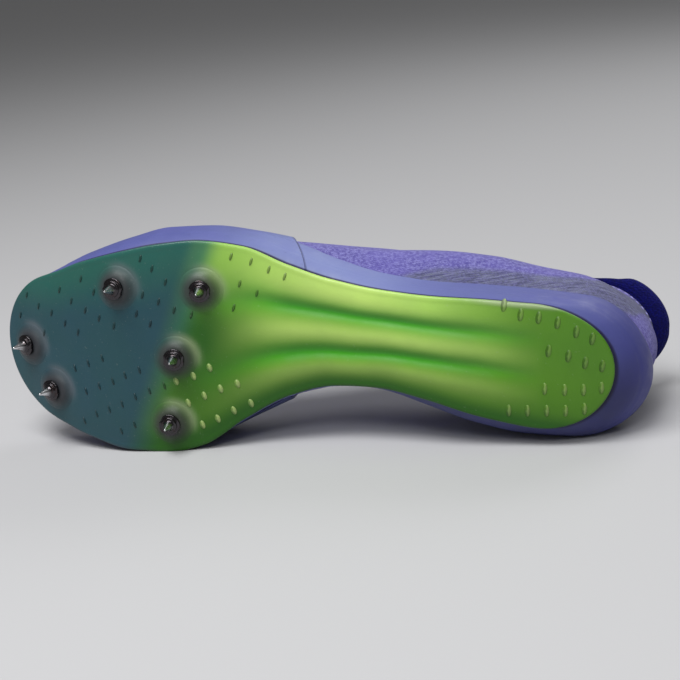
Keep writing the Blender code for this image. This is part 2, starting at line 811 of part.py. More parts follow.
def tongue_row(share):
    """Outer face of the tongue across the throat: under one wall, over the gap, under the other."""
    row = []
    buried = min(max((share - EYELET_LAST) / (TONGUE_FRONT - EYELET_LAST), 0.0), 1.0)
    depth = UPPER_WALL + 2 * FIT_GAP + TONGUE_SINK * buried
    for side in (1, -1):
        half = []
        for reach in TONGUE_TUCK:
            level = level_below(side, share, reach)
            half.append(upper_point(side, share, level) - upper_normal(side, share, level) * depth)
        row.append(half)
    lateral, medial = row[0], list(reversed(row[1]))
    crown = Vector((0, 0, TONGUE_CROWN * (1 - buried)))
    bridge = [lateral[-1].lerp(medial[0], t) + crown * (4 * t * (1 - t)) for t in TONGUE_BRIDGE]
    return lateral + bridge + medial


def build_tongue(finish, parts):
    """Thin padded tongue from under the vamp to above the top eyelets."""
    outer = []
    for k in range(TONGUE_ROWS):
        share = TONGUE_FRONT + (TONGUE_BACK - TONGUE_FRONT) * k / (TONGUE_ROWS - 1)
        outer.append(tongue_row(share))
    last = outer[-1]
    middle = sum(last, Vector((0, 0, 0))) / len(last)
    for travel, narrow in TONGUE_END_ROWS:
        shift = Vector(TONGUE_LEAN) * (travel * TONGUE_FREE)
        outer.append([middle + (p - middle) * narrow + shift for p in last])
    rows = []
    for k, row in enumerate(outer):
        ahead = outer[min(k + 1, len(outer) - 1)]
        behind = outer[max(k - 1, 0)]
        under = []
        for i, p in enumerate(row):
            along = ahead[i] - behind[i]
            across = row[min(i + 1, len(row) - 1)] - row[max(i - 1, 0)]
            inward = along.cross(across).normalized()
            if inward.z > 0:
                inward.negate()
            under.append(p + inward * TONGUE_THICKNESS)
        rows.append(row + list(reversed(under)))
    return mesh_object("tongue", capped(rows), finish, parts)


def build_collar(finish, parts):
    """Padded lining of the collar with a lip that rises and flares into a tab at the heel."""
    places = [(side, share) for side, share in stations() if share < COLLAR_FRONT]
    lateral = [p for p in places if p[0] > 0]
    medial = [p for p in places if p[0] < 0]
    rows = []
    for side, share in list(reversed(lateral)) + list(reversed(medial)):
        top = upper_point(side, share, 1.0)
        out = upper_normal(side, share, 1.0)
        rise = (top - upper_point(side, share, 1 - EDGE_STEP)).normalized()
        weight = lip_weights[0 if side > 0 else 1](share)
        lift = LIP_RISE * weight
        flare = LIP_FLARE * weight
        tip = min(max((COLLAR_FRONT - share) / COLLAR_TAPER, 0.0), 1.0)
        inside = UPPER_WALL + FIT_GAP * (4 - 2 * tip)
        pad = LINING_THICKNESS * (LINING_LEAST + (1 - LINING_LEAST) * weight)
        row = []
        for down in reversed(range(1, LINING_ROWS + 1)):
            level = 1 - down / WALL_LEVELS
            row.append(upper_point(side, share, level) - upper_normal(side, share, level) * inside)
        lip = [
            (-inside, -LIP_ROOT),
            (-inside, FIT_GAP),
            (flare * 0.25, FIT_GAP),
            (flare * 0.8 + LIP_BULGE * weight, lift * 0.42),
            (flare, lift * 0.8),
            (flare * 0.75 - LIP_CREST, lift),
            (flare * 0.35 - LIP_THICKNESS * weight / 2 - LIP_INNER, lift * 0.93),
            (-inside - pad * 0.8, lift * 0.4),
        ]
        for over, up in lip:
            row.append(top + out * min(over, flare) + rise * (up + 2 * COLLAR_END_LIFT * (1 - tip)))
        row.append(top - out * (inside + pad))
        for down in range(1, LINING_ROWS + 1):
            level = 1 - down / WALL_LEVELS
            thick = inside + pad * (1.0 if down < LINING_ROWS else LINING_EDGE)
            row.append(upper_point(side, share, level) - upper_normal(side, share, level) * thick)
        back, inward = COLLAR_END_TUCK
        tuck = Vector((back, inward * side, 0.0)) * (COLLAR_END_LIFT * (1 - tip))
        rows.append([p + tuck for p in row])
    return mesh_object("collar", capped(rows), finish, parts)


def build_rand(finish, parts):
    """Smooth film over the foot of the forefoot wall, from one side seam round the toe to the other."""
    places = [(side, share) for side, share in stations() if share > RAND_REAR]
    rows = []
    for side, share in places:
        x = outline_point(RIM_LINE, side, share).x
        foot = rim_height(x, side) + 3 * FIT_GAP
        room = RAND_SHARE * (upper_point(side, share, 1.0).z - foot)
        outer, inner = [], []
        for lift in RAND_LIFTS:
            level = level_at_height(side, share, foot + min(RAND_HEIGHT, room) * lift)
            place = upper_point(side, share, level)
            out = upper_normal(side, share, level)
            inner.append(place + out * RAND_CLEARANCE * FIT_GAP)
            outer.append(place + out * (RAND_CLEARANCE * FIT_GAP + RAND_THICKNESS))
        rows.append(inner + list(reversed(outer)))
    return mesh_object("toe_rand", capped(rows), finish, parts)


def ribbon(name, path, finish, collection):
    """Flat cord along a path of points."""
    rows = []
    for k, place in enumerate(path):
        along = (path[min(k + 1, len(path) - 1)] - path[max(k - 1, 0)]).normalized()
        level = along.cross(Vector((0, 0, 1))).normalized()
        crown = level.cross(along)
        row = []
        for across, up in ((1, 1), (-1, 1), (-1, -1), (1, -1)):
            row.append(place + level * (across * LACE_WIDTH / 2) + crown * (up * LACE_THICKNESS / 2))
        rows.append(row)
    return mesh_object(name, capped(rows), finish, collection)


def over_throat(side, start, end):
    """Places where a lace passes over one throat edge, the middle and the other edge."""
    clear = LACE_THICKNESS / 2 + LACE_CLEARANCE
    edges_passed = []
    for way, t in ((side, LACE_EDGE), (-side, 1 - LACE_EDGE)):
        share = start + (end - start) * t
        edge = upper_point(way, share, 1.0)
        edges_passed.append(edge + upper_normal(way, share, 1.0) * clear)
    near, far = edges_passed
    return [near, near.lerp(far, 0.5) + Vector((0, 0, LACE_CROWN)), far]


def build_lace(finish, parts, cutters):
    """Crossed lace over the throat, from the front pair of eyelets to the top pair."""
    rest = {}
    for side in (1, -1):
        clear = UPPER_WALL / 2 + LACE_THICKNESS / 2 + LACE_CLEARANCE
        rest[side] = [place + out * clear for place, out in eyelets(side)]
    cords = []
    for first in (1, -1):
        path = []
        side = first
        for k in reversed(range(EYELET_PAIRS)):
            here = rest[side][k]
            path.append(here)
            if k > 0:
                path += over_throat(side, eyelet_share(k), eyelet_share(k - 1))
            side = -side
        cords.append(path)
    front = eyelet_share(EYELET_PAIRS - 1)
    bar = [rest[1][-1]] + over_throat(1, front, front) + [rest[-1][-1]]
    lace = ribbon("lace", cords[0], finish, parts)
    for name, path in (("lace_return", cords[1]), ("lace_bar", bar)):
        cutter = ribbon(name, path, finish, cutters)
        hide(cutter)
        add_boolean(lace, cutter, "UNION")
    return lace


def lay_down(parts, cutters):
    """Empty that lays the shoe on the flats of its medial side."""
    bpy.context.view_layer.update()
    depsgraph = bpy.context.evaluated_depsgraph_get()
    points = []
    for item in parts.objects:
        evaluated = item.evaluated_get(depsgraph)
        points += [item.matrix_world @ vert.co for vert in evaluated.to_mesh().vertices]
        evaluated.to_mesh_clear()
    down = floor_down()
    toe = Vector((1, 0, 0))
    toe = (toe - down * toe.dot(down)).normalized()
    across = down.cross(toe)
    turn = Matrix((-toe, across, -down))
    laid = [turn @ point for point in points]
    low = [min(p[axis] for p in laid) for axis in range(3)]
    high = [max(p[axis] for p in laid) for axis in range(3)]
    shift = Vector((-(low[0] + high[0]) / 2, -(low[1] + high[1]) / 2, -low[2]))
    rest = bpy.data.objects.new("rest_on_side", None)
    rest.matrix_world = Matrix.Translation(shift) @ turn.to_4x4()
    cutters.objects.link(rest)
    for item in list(parts.objects) + list(cutters.objects):
        if item is not rest:
            item.parent = rest
    return rest


def clear_scene():
    for item in list(bpy.data.objects):
        bpy.data.objects.remove(item)


def main():
    clear_scene()
    parts = bpy.data.collections.new("track_spike_shoe")
    cutters = bpy.data.collections.new("cutters")
    bpy.context.scene.collection.children.link(parts)
    bpy.context.scene.collection.children.link(cutters)
    plate_finish = material("plate_gloss", (0.16, 0.42, 0.06), 0.28)
    foam_finish = material("foam_violet", (0.16, 0.15, 0.55), 0.6)
    knit_finish = material("knit_violet", (0.20, 0.17, 0.55), 0.85)
    steel = material("spike_steel", (0.55, 0.55, 0.57), 0.3, 1.0)
    build_plate(plate_finish, parts, cutters)
    build_spikes(steel, parts)
    build_midsole(foam_finish, parts)
    navy = material("lining_navy", (0.01, 0.01, 0.20), 0.8)
    liner = material("insole_navy", (0.03, 0.03, 0.10), 0.8)
    film = material("rand_film", (0.17, 0.16, 0.58), 0.45)
    cord = material("lace_violet", (0.35, 0.32, 0.70), 0.8)
    build_upper(knit_finish, parts, cutters)
    build_insole(liner, parts)
    build_tongue(knit_finish, parts)
    build_collar(navy, parts)
    build_rand(film, parts)
    build_lace(cord, parts, cutters)
    lay_down(parts, cutters)


main()
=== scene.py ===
"""Left track spike shoe lying empty on its medial side, with its spiked sole to the camera."""

import bmesh
import bpy
import numpy as np
from mathutils import Matrix, Vector


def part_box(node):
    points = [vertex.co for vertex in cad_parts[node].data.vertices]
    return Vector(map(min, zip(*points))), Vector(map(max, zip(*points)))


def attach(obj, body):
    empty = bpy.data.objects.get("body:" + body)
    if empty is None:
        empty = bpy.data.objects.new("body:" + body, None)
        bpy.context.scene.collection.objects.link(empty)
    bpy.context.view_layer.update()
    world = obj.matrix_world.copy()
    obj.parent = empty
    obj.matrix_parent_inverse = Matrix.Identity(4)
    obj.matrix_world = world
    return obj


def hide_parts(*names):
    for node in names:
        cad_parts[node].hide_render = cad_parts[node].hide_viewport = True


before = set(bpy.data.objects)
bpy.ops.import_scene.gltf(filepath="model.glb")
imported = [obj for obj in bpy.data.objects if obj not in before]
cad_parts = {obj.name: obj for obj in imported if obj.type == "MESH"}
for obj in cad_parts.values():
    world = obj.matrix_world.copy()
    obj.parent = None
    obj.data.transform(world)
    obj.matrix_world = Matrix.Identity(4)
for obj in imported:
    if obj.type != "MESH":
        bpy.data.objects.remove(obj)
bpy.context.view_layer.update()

# Camera and studio
# The shoe is seen from in front of its sole and a little above, toe to the left, on a plain pale
# floor in a pale room, under one wide soft lamp with a weaker one in front and one behind.
CAMERA_MATRIX = Matrix(
    (
        (0.95924, 0.0284, 0.28117, 0.18375),
        (0.26047, 0.29712, -0.91863, -0.57932),
        (-0.10962, 0.95442, 0.27761, 0.21073),
        (0.0, 0.0, 0.0, 1.0),
    )
)
LENS_MM = 79.726
NEAR_CLIP = 0.01
HALF_FLOOR = 12.0
FLOOR_PAINT = (0.46, 0.46, 0.47, 1.0)
FLOOR_ROUGHNESS = 0.7
ROOM_LIGHT = 0.17
# Softboxes: place, point aimed at, width, height, power in watts
SOFTBOXES = [
    ((-0.22, -0.42, 1.25), (0.0, 0.0, 0.05), 0.9, 0.6, 19.0),
    ((0.20, -1.00, 1.05), (0.03, 0.0, 0.05), 0.5, 0.35, 4.5),
    ((0.50, 1.00, 0.90), (0.0, 0.0, 0.05), 0.8, 0.6, 4.5),
]


def placed(name, data, matrix=None):
    made = bpy.data.objects.new(name, data)
    if matrix is not None:
        made.matrix_world = matrix
    bpy.context.scene.collection.objects.link(made)
    return made


camera_data = bpy.data.cameras.new("camera")
camera_data.lens = LENS_MM
camera_data.clip_start = NEAR_CLIP
bpy.context.scene.camera = placed("camera", camera_data, CAMERA_MATRIX)
bpy.context.scene.view_settings.view_transform = "Standard"

for number, (place, aim, width, height, power) in enumerate(SOFTBOXES, 1):
    lamp = bpy.data.lights.new(f"softbox_{number}", "AREA")
    lamp.shape = "RECTANGLE"
    lamp.size, lamp.size_y, lamp.energy = width, height, power
    turn = (Vector(aim) - Vector(place)).to_track_quat("-Z", "Y")
    placed(lamp.name, lamp, Matrix.LocRotScale(Vector(place), turn, None))

room = bpy.data.worlds.new("pale_room")
room.use_nodes = True
room.node_tree.nodes["Background"].inputs["Color"].default_value = (1.0, 1.0, 1.0, 1.0)
room.node_tree.nodes["Background"].inputs["Strength"].default_value = ROOM_LIGHT
bpy.context.scene.world = room

floor_paint = bpy.data.materials.new("pale_floor")
floor_paint.use_nodes = True
floor_shader = floor_paint.node_tree.nodes["Principled BSDF"]
floor_shader.inputs["Base Color"].default_value = FLOOR_PAINT
floor_shader.inputs["Roughness"].default_value = FLOOR_ROUGHNESS
floor_ways = ((-1, -1), (1, -1), (1, 1), (-1, 1))
floor_corners = [(x * HALF_FLOOR, y * HALF_FLOOR, 0.0) for x, y in floor_ways]
floor_mesh = bpy.data.meshes.new("floor")
floor_mesh.from_pydata(floor_corners, [], [(0, 1, 2, 3)])
floor_mesh.materials.append(floor_paint)
floor = placed("floor", floor_mesh)


# How the shoe lies
# Its shape is worked out standing up, x from heel to toe, y to the lateral side, z up, in metres.
# It lies on its medial side, where the floor has pressed the soft wall and the sole's edge flat.
LENGTH = 0.262
HEEL_WIDTH = 0.049
BALL_WIDTH = 0.088
HEEL_FOAM = 0.013
SWELL_HEIGHT = 0.036
# Floor under the medial side: share of the length and reach in widths where it touches, lean
FLOOR_HEEL = (0.10, 0.626)
FLOOR_BALL = (0.70, 0.5060)
FLOOR_LEAN = 0.07

floor_heel_side = -FLOOR_HEEL[1] * HEEL_WIDTH - FLOOR_LEAN * (SWELL_HEIGHT - HEEL_FOAM)
floor_ball_side = -FLOOR_BALL[1] * BALL_WIDTH
floor_slope = (floor_ball_side - floor_heel_side) / ((FLOOR_BALL[0] - FLOOR_HEEL[0]) * LENGTH)
floor_way = Vector((floor_slope, -1.0, FLOOR_LEAN)).normalized()
toe_way = Vector((1.0, 0.0, 0.0))
toe_way = (toe_way - floor_way * toe_way.dot(floor_way)).normalized()
lie = np.array((-toe_way, floor_way.cross(toe_way), -floor_way))


def pressed(places, clearance=0.0):
    """The places, or where the floor has pushed them in to."""
    limit = floor_heel_side + floor_slope * (places[..., 0] - FLOOR_HEEL[0] * LENGTH)
    limit = limit + FLOOR_LEAN * places[..., 2] - clearance / floor_way.y
    moved = places.copy()
    moved[..., 1] = np.maximum(places[..., 1], limit)
    return moved


# Outsole plate
# One full-length glossy plate, injection moulded from two nylons whose teal and green run into
# each other at the ball, with channels along the waist, a bead round its edge and low domes.
WAIST_WIDTH = 0.040
PLATE_HEEL_ROUND = 0.033
PLATE_TOE_ROUND = 0.027
PLATE_THICKNESS = 0.0016
EDGE_LIFT = 0.0012
EDGE_LIFT_LIMIT = 1.2
BEAD_HEIGHT = 0.00016
BEAD_FROM_EDGE = 0.0013
BEAD_WIDTH = 0.0006
CHANNEL_DEPTH = 0.0014
CHANNEL_WIDTH = 0.11
CHANNEL_TURN = (0.2, 0.4)
RIDGE_HEIGHT = 0.0005
RIDGE_WIDTH = 0.16
BOSS_FOOT = 0.0092
BOSS_HEIGHT = 0.0022
HALF_ROUND = 256
PLATE_ACROSS = 44
WIDTH = {"heel": HEEL_WIDTH, "waist": WAIST_WIDTH, "ball": BALL_WIDTH}
RISE = {"spring": 0.020, "arch": 0.007, "bevel": 0.003}
# Outline: share of the length, width it follows, lateral edge, medial edge
PLATE_ROWS = [
    (0.00, "heel", 0.512, -0.549), (0.06, "heel", 0.498, -0.531), (0.12, "heel", 0.502, -0.502),
    (0.20, "heel", 0.520, -0.433), (0.28, "waist", 0.645, -0.400), (0.36, "waist", 0.675, -0.330),
    (0.43, "waist", 0.743, -0.353), (0.50, "ball", 0.401, -0.217), (0.57, "ball", 0.482, -0.332),
    (0.64, "ball", 0.507, -0.468), (0.70, "ball", 0.488, -0.508), (0.76, "ball", 0.450, -0.508),
    (0.84, "ball", 0.383, -0.464), (0.92, "ball", 0.302, -0.396), (1.00, "ball", 0.288, -0.360),
]
# Underside: share of the length, rise it follows, share of that rise
BOTTOM_ROWS = [
    (0.00, "bevel", 1.0), (0.05, "bevel", 0.27), (0.10, "bevel", 0.0), (0.24, "arch", 0.0),
    (0.34, "arch", 0.5), (0.44, "arch", 1.0), (0.54, "arch", 0.80), (0.63, "arch", 0.28),
    (0.70, "arch", 0.0), (0.75, "spring", 0.0), (0.82, "spring", 0.13), (0.90, "spring", 0.43),
    (0.96, "spring", 0.77), (1.00, "spring", 1.0),
]
# Channels and the ridges beside them: share across at the waist and at the heel
CHANNELS = [(0.40, 0.46), (-0.33, -0.13)]
RIDGES = [(0.04, 0.16), (-0.60, -0.45), (0.74, 0.72)]
# How deep the channels are: share of the length, share of the depth
CHANNEL_ROWS = [(0.10, 0.0), (0.22, 0.75), (0.32, 1.0), (0.48, 1.0), (0.60, 0.25), (0.66, 0.0)]
# Rounded edge of the plate: distance in from the outline, height above the underside
EDGE_INSET = 0.00045
EDGE_ROWS = [(0.00018, 0.00012), (0.0, 0.0005), (0.0, 0.0011), (0.00018, 0.0015), (0.0006, 0.0016)]
# Spikes, from the toe back: share of the length, place across in ball widths
SPIKE_ROWS = [
    (0.949, -0.050), (0.899, -0.252), (0.770, 0.280),
    (0.632, 0.282), (0.676, -0.042), (0.687, -0.357),
]
# Dyes of the two nylons, with painted highlight in pale lime, painted shade in moss green, smoke
# round the domes and painted highlight on the pale rims of the domes
TEAL, SEA = (0.016, 0.064, 0.086), (0.030, 0.190, 0.095)
LEAF, LIME = (0.078, 0.215, 0.008), (0.25, 0.52, 0.060)
LIME_HIGHLIGHT, MOSS_SHADE = (0.50, 0.70, 0.16), (0.010, 0.088, 0.000)
GROOVE, SMOKE = (0.042, 0.310, 0.012), (0.036, 0.033, 0.037)
RIM_HIGHLIGHT_PALE, RIM_HIGHLIGHT_GREY = (0.36, 0.44, 0.24), (0.20, 0.20, 0.23)
CLOUD, DUST = (0.02, 0.08, 0.02), (0.45, 0.48, 0.40)
# Where teal turns to green: place at the middle line, slant, width of the change
FADE_PLACE = 0.179
FADE_SLANT = 0.36
FADE_WIDTH = 0.009
# Smoke and painted rim highlight of a dome: distance from its middle where each ends or lies
SMOKE_REACH = (0.0048, 0.0108)
RIM_HIGHLIGHT_REACH = (0.0088, 0.0019)


def smooth_line(points):
    """A smooth line through the points that never overshoots them, as a function."""
    xs, ys = np.array(points, float).T
    steps = np.diff(xs)
    slopes = np.diff(ys) / steps
    tangents = np.concatenate([slopes[:1], np.zeros(len(xs) - 2), slopes[-1:]])
    for i in range(1, len(slopes)):
        before, after = slopes[i - 1], slopes[i]
        if before * after > 0:
            first = 2 * steps[i] + steps[i - 1]
            second = steps[i] + 2 * steps[i - 1]
            tangents[i] = (first + second) / (first / before + second / after)

    def at(x):
        x = np.clip(x, xs[0], xs[-1])
        i = np.clip(np.searchsorted(xs, x, side="right") - 1, 0, len(steps) - 1)
        t = (x - xs[i]) / steps[i]
        start = (1 + 2 * t) * (1 - t) ** 2 * ys[i] + t * (1 - t) ** 2 * steps[i] * tangents[i]
        end = t * t * (3 - 2 * t) * ys[i + 1] + t * t * (t - 1) * steps[i] * tangents[i + 1]
        return start + end

    return at


def line_of(rows, column, size=1.0, names=1):
    """Smooth line of a table's column, in one size or in the sizes that its rows name."""
    sizes = [size[r[names]] if isinstance(size, dict) else size for r in rows]
    return smooth_line([(r[0], s * r[column]) for r, s in zip(rows, sizes)])


def eased(value, low, high):
    """Soft step from 0 at low to 1 at high."""
    t = np.clip((value - low) / (high - low), 0.0, 1.0)
    return t * t * (3 - 2 * t)


def bump_at(value, middle, width):
    return np.exp(-(((value - middle) / width) ** 2))


def place_of(x, y, z):
    return np.stack(np.broadcast_arrays(x, y, z), -1).astype(float)


def round_the_foot(half):
    """Side and share for each place around: heel, lateral side, toe, medial side."""
    k = np.arange(2 * half)
    turned = np.where(k <= half, k, 2 * half - k)
    return np.where(k <= half, 1.0, -1.0), (1 - np.cos(np.pi * turned / half)) / 2


def outline(line, side, share, inset=0.0):
    """Places on a closed outline with rounded ends, moved inwards by inset, at height 0."""
    edges, heel, toe, heel_round, toe_round = line
    heel, toe = heel + inset, toe - inset
    x = heel + share * (toe - heel)
    lateral, medial = (edge(x / LENGTH) for edge in edges)
    half = (lateral - medial) / 2 - inset
    for distance, radius in ((x - heel, heel_round), (toe - x, toe_round)):
        if radius > 0:
            near = np.clip(distance / radius, 0.0, 1.0)
            half = half * np.sqrt(np.clip(1 - (1 - near) ** 2, 0.0, 1.0))
    return place_of(x, (lateral + medial) / 2 + side * half, 0.0)


def middle_line(line, share):
    """Places on the line that the rings of a sole close on."""
    edges, heel, toe, heel_round, toe_round = line
    x = np.clip(heel + share * (toe - heel), heel + 0.7 * heel_round, toe - 0.7 * toe_round)
    lateral, medial = (edge(x / LENGTH) for edge in edges)
    return place_of(x, (lateral + medial) / 2, 0.0)


plate_edges = [line_of(PLATE_ROWS, column, WIDTH) for column in (2, 3)]
bottom_height = line_of(BOTTOM_ROWS, 2, RISE)
channel_share = smooth_line(CHANNEL_ROWS)
PLATE_LINE = (plate_edges, 0.0, LENGTH, PLATE_HEEL_ROUND, PLATE_TOE_ROUND)
side, share = round_the_foot(HALF_ROUND)


def across_plate(x, y):
    """Place across the plate, from -1 (medial) to 1 (lateral), and half its width."""
    lateral, medial = (edge(x / LENGTH) for edge in plate_edges)
    return (2 * y - lateral - medial) / (lateral - medial), (lateral - medial) / 2


def along_channel(x, across, at_waist, at_heel, width):
    """How near a place is to a line that runs along the waist and bends towards the heel."""
    lean = np.clip((x / LENGTH - CHANNEL_TURN[0]) / (CHANNEL_TURN[1] - CHANNEL_TURN[0]), 0.0, 1.0)
    return bump_at(across, at_heel + (at_waist - at_heel) * lean, width)


def plate_bottom(x, y):
    """Height of the underside, with its lifted edges and its channels."""
    across = across_plate(x, y)[0]
    lifted = EDGE_LIFT * np.minimum(np.abs(across), EDGE_LIFT_LIMIT) ** 4
    height = bottom_height(x / LENGTH) + lifted
    dip = sum(along_channel(x, across, *channel, CHANNEL_WIDTH) for channel in CHANNELS)
    return height + CHANNEL_DEPTH * channel_share(x / LENGTH) * dip


def moulded_bottom(x, y):
    """Underside with the ridges between the channels and the bead along the edge."""
    across, half = across_plate(x, y)
    crown = sum(along_channel(x, across, *ridge, RIDGE_WIDTH) for ridge in RIDGES)
    height = plate_bottom(x, y) - RIDGE_HEIGHT * channel_share(x / LENGTH) * crown
    return height - BEAD_HEIGHT * bump_at((1 - np.abs(across)) * half, BEAD_FROM_EDGE, BEAD_WIDTH)


def mixed(first, second, weight):
    weight = np.asarray(weight)[..., None]
    return np.asarray(first) * (1 - weight) + np.asarray(second) * weight


def around_spikes(x, y):
    """How smoky the nylon is round the spikes, and how strong the painted highlight is on each
    dome's foot towards the light.
    """
    smoke, rim = np.zeros_like(x), np.zeros_like(x)
    for along, across in SPIKE_ROWS:
        run, over = x - along * LENGTH, y - across * BALL_WIDTH
        away = np.hypot(run, over)
        smoke = smoke + 1 - eased(away, *SMOKE_REACH)
        facing = (over - run) / np.maximum(away, 1e-6) / np.sqrt(2)
        # Painted highlight: a pale arc on the side of each dome's foot that faces the light
        rim = np.maximum(rim, bump_at(away, *RIM_HIGHLIGHT_REACH) * eased(facing, 0.15, 0.95))
    return smoke, rim


def nylon_tint(x, y):
    """Colour of the plate: teal forefoot, lime waist, green heel, painted shade in moss along the
    medial side, and painted highlights in pale lime on the lateral waist and the ridges, on the
    heel's lateral edge and on the domes' feet.
    """
    across, along = across_plate(x, y)[0], x / LENGTH
    channelled = channel_share(along)
    fade = eased(x - (FADE_PLACE - FADE_SLANT * y), -FADE_WIDTH, FADE_WIDTH)
    crown, low_ridge_highlight = (along_channel(x, across, *ridge, 0.20) for ridge in RIDGES[:2])
    valley = bump_at(across, 0.05, 0.55) * bump_at(along, 0.645, 0.070)
    medial = 0.45 * eased(-across, 0.10, 1.0) + 0.55 * eased(-across, 0.66, 0.95)
    heel_edge_highlight = eased(np.abs(across), 0.90, 0.97) * eased(across, -0.2, 0.3)
    deep = sum(along_channel(x, across, *channel, 0.15) for channel in CHANNELS)
    washes = [
        (LIME, 0.9 * eased(across, -0.30, 0.65) * eased(along, 0.10, 0.32)),
        # Painted highlight in pale lime on the lateral waist band that faces the light and on the
        # ridges beside the channels
        (LIME_HIGHLIGHT, 0.95 * eased(across, 0.42, 0.75) * bump_at(along, 0.41, 0.17)),
        (LIME_HIGHLIGHT, 0.74 * crown * channelled),
        (LIME_HIGHLIGHT, 0.52 * low_ridge_highlight * channelled),
        # Painted shade in moss green along the medial side, and a darker moss patch in the valley
        # of the ball
        (MOSS_SHADE, np.clip(valley + medial, 0, 0.94)),
        # Painted highlight: a pale line along the lateral edge of the heel, where the rounded edge
        # catches the light
        (RIM_HIGHLIGHT_PALE, 0.75 * heel_edge_highlight * eased(-along, -0.24, -0.16)),
        (GROOVE, 0.95 * np.clip(deep, 0, 1) * channelled),
        (SEA, 0.7 * bump_at(fade, 0.55, 0.35) * eased(across, -0.6, 0.6)),
        (mixed(TEAL, SEA, 0.35 * eased(across, 0.35, 0.95)), fade),
        # Painted highlight on the domes' feet, paler on green and greyer on teal
        (mixed(RIM_HIGHLIGHT_PALE, RIM_HIGHLIGHT_GREY, fade), around_spikes(x, y)[1] * (0.55 - 0.15 * fade)),
    ]
    tint = LEAF
    for colour, weight in washes:
        tint = mixed(tint, colour, weight)
    return tint


def sole_rings(spine, rim, shares, height, lift=0.0):
    """Rings at shares of the way from a spine out to a rim, at the height a function gives."""
    for t in shares:
        ring = spine + (rim - spine) * t
        ring[:, 2] = height(ring[:, 0], ring[:, 1]) + lift
        yield pressed(ring)


def skin(name, rows, finish, skip=None, cloth=None, **marks):
    """Mesh through rings of places in the standing shoe, laid down and welded where they meet."""
    rows = np.asarray(rows, float)
    index = np.arange(rows.shape[0] * rows.shape[1]).reshape(rows.shape[:2])
    ahead = np.roll(index, -1, axis=1)
    quads = np.stack((index[:-1], ahead[:-1], ahead[1:], index[1:]), -1).reshape(-1, 4)
    kept = np.ones(len(quads), bool) if skip is None else ~skip.reshape(-1)
    mesh = bpy.data.meshes.new(name)
    mesh.from_pydata((rows.reshape(-1, 3) @ lie.T + lie_shift).tolist(), [], quads[kept].tolist())
    if cloth is not None:
        spots = np.stack((cloth[:-1, :-1], cloth[:-1, 1:], cloth[1:, 1:], cloth[1:, :-1]), 2)
        layer = mesh.uv_layers.new(name="cloth")
        layer.data.foreach_set("uv", spots.reshape(-1, 8)[kept].ravel())
    for mark, values in marks.items():
        values = np.asarray(values, np.float32)
        kind, socket = "FLOAT", "value"
        if values.ndim == 3:
            values = np.concatenate([values, np.ones((*values.shape[:2], 1), np.float32)], -1)
            kind, socket = "FLOAT_COLOR", "color"
        mesh.attributes.new(mark, kind, "POINT").data.foreach_set(socket, values.ravel())
    build = bmesh.new()
    build.from_mesh(mesh)
    bmesh.ops.remove_doubles(build, verts=build.verts, dist=1e-6)
    bmesh.ops.recalc_face_normals(build, faces=build.faces)
    build.to_mesh(mesh)
    build.free()
    mesh.materials.append(finish.material)
    mesh.shade_smooth()
    return placed(name, mesh)


def join(name, pieces):
    """Several like pieces as one."""
    build = bmesh.new()
    for piece in pieces:
        build.from_mesh(piece.data)
    build.to_mesh(pieces[0].data)
    build.free()
    for piece in pieces[1:]:
        bpy.data.objects.remove(piece)
    pieces[0].name = pieces[0].data.name = name
    return pieces[0]


class Finish:
    """A material. Each method but set and relief adds shader nodes and gives the last output."""

    def __init__(self, name, roughness, **values):
        self.material = bpy.data.materials.new(name)
        self.material.use_nodes = True
        self.tree = self.material.node_tree
        self.shader = self.tree.nodes["Principled BSDF"]
        self.shader.inputs["Roughness"].default_value = roughness
        for socket, value in values.items():
            self.shader.inputs[socket.replace("_", " ")].default_value = value

    def node(self, kind, inputs, output=0, **settings):
        """An input is a value or another node's output."""
        made = self.tree.nodes.new("ShaderNode" + kind)
        for name, value in settings.items():
            setattr(made, name, value)
        for name, value in inputs.items():
            if isinstance(value, bpy.types.NodeSocket):
                self.tree.links.new(value, made.inputs[name])
            else:
                made.inputs[name].default_value = value
        return made.outputs[output]

    def mark(self, name, output="Fac"):
        return self.node("Attribute", {}, output, attribute_name=name)

    def maths(self, operation, first, second=0.0):
        return self.node("Math", {0: first, 1: second}, operation=operation)

    def times(self, first, second):
        return self.maths("MULTIPLY", first, second)

    def tinted(self, weight, *colours):
        """Two colours mixed by a weight."""
        colours = [c if isinstance(c, bpy.types.NodeSocket) else (*c, 1.0) for c in colours]
        return self.node("Mix", {0: weight, 6: colours[0], 7: colours[1]}, 2, data_type="RGBA")

    def washed(self, colour, *washes):
        """A colour with others laid over it in turn, each by its weight."""
        for weight, wash in washes:
            colour = self.tinted(weight, colour, wash)
        return colour

    def ranged(self, value, low, high, to_low=0.0, to_high=1.0):
        inputs = {0: value, 1: low, 2: high, 3: to_low, 4: to_high}
        return self.node("MapRange", inputs, interpolation_type="SMOOTHSTEP")

    def noise(self, size, detail=2.0, roughness=0.5):
        """Noise with grains of a size in metres."""
        where = self.node("TexCoord", {}, "Object")
        inputs = {"Vector": where, "Scale": 1.0 / size, "Detail": detail, "Roughness": roughness}
        return self.node("TexNoise", inputs, "Fac")

    def clouds(self, size, detail, *limits):
        """Noise stretched between limits."""
        return self.ranged(self.noise(size, detail), *limits)

    def set(self, socket, output):
        self.tree.links.new(output, self.shader.inputs[socket])

    def relief(self, *layers):
        """Bump built from layers of (height, depth in metres)."""
        total = None
        for height, depth in layers:
            scaled = self.times(height, depth * 1000)
            total = scaled if total is None else self.maths("ADD", total, scaled)
        bump = self.node("Bump", {"Height": total, "Distance": 0.001, "Strength": 1.0})
        self.set("Normal", bump)


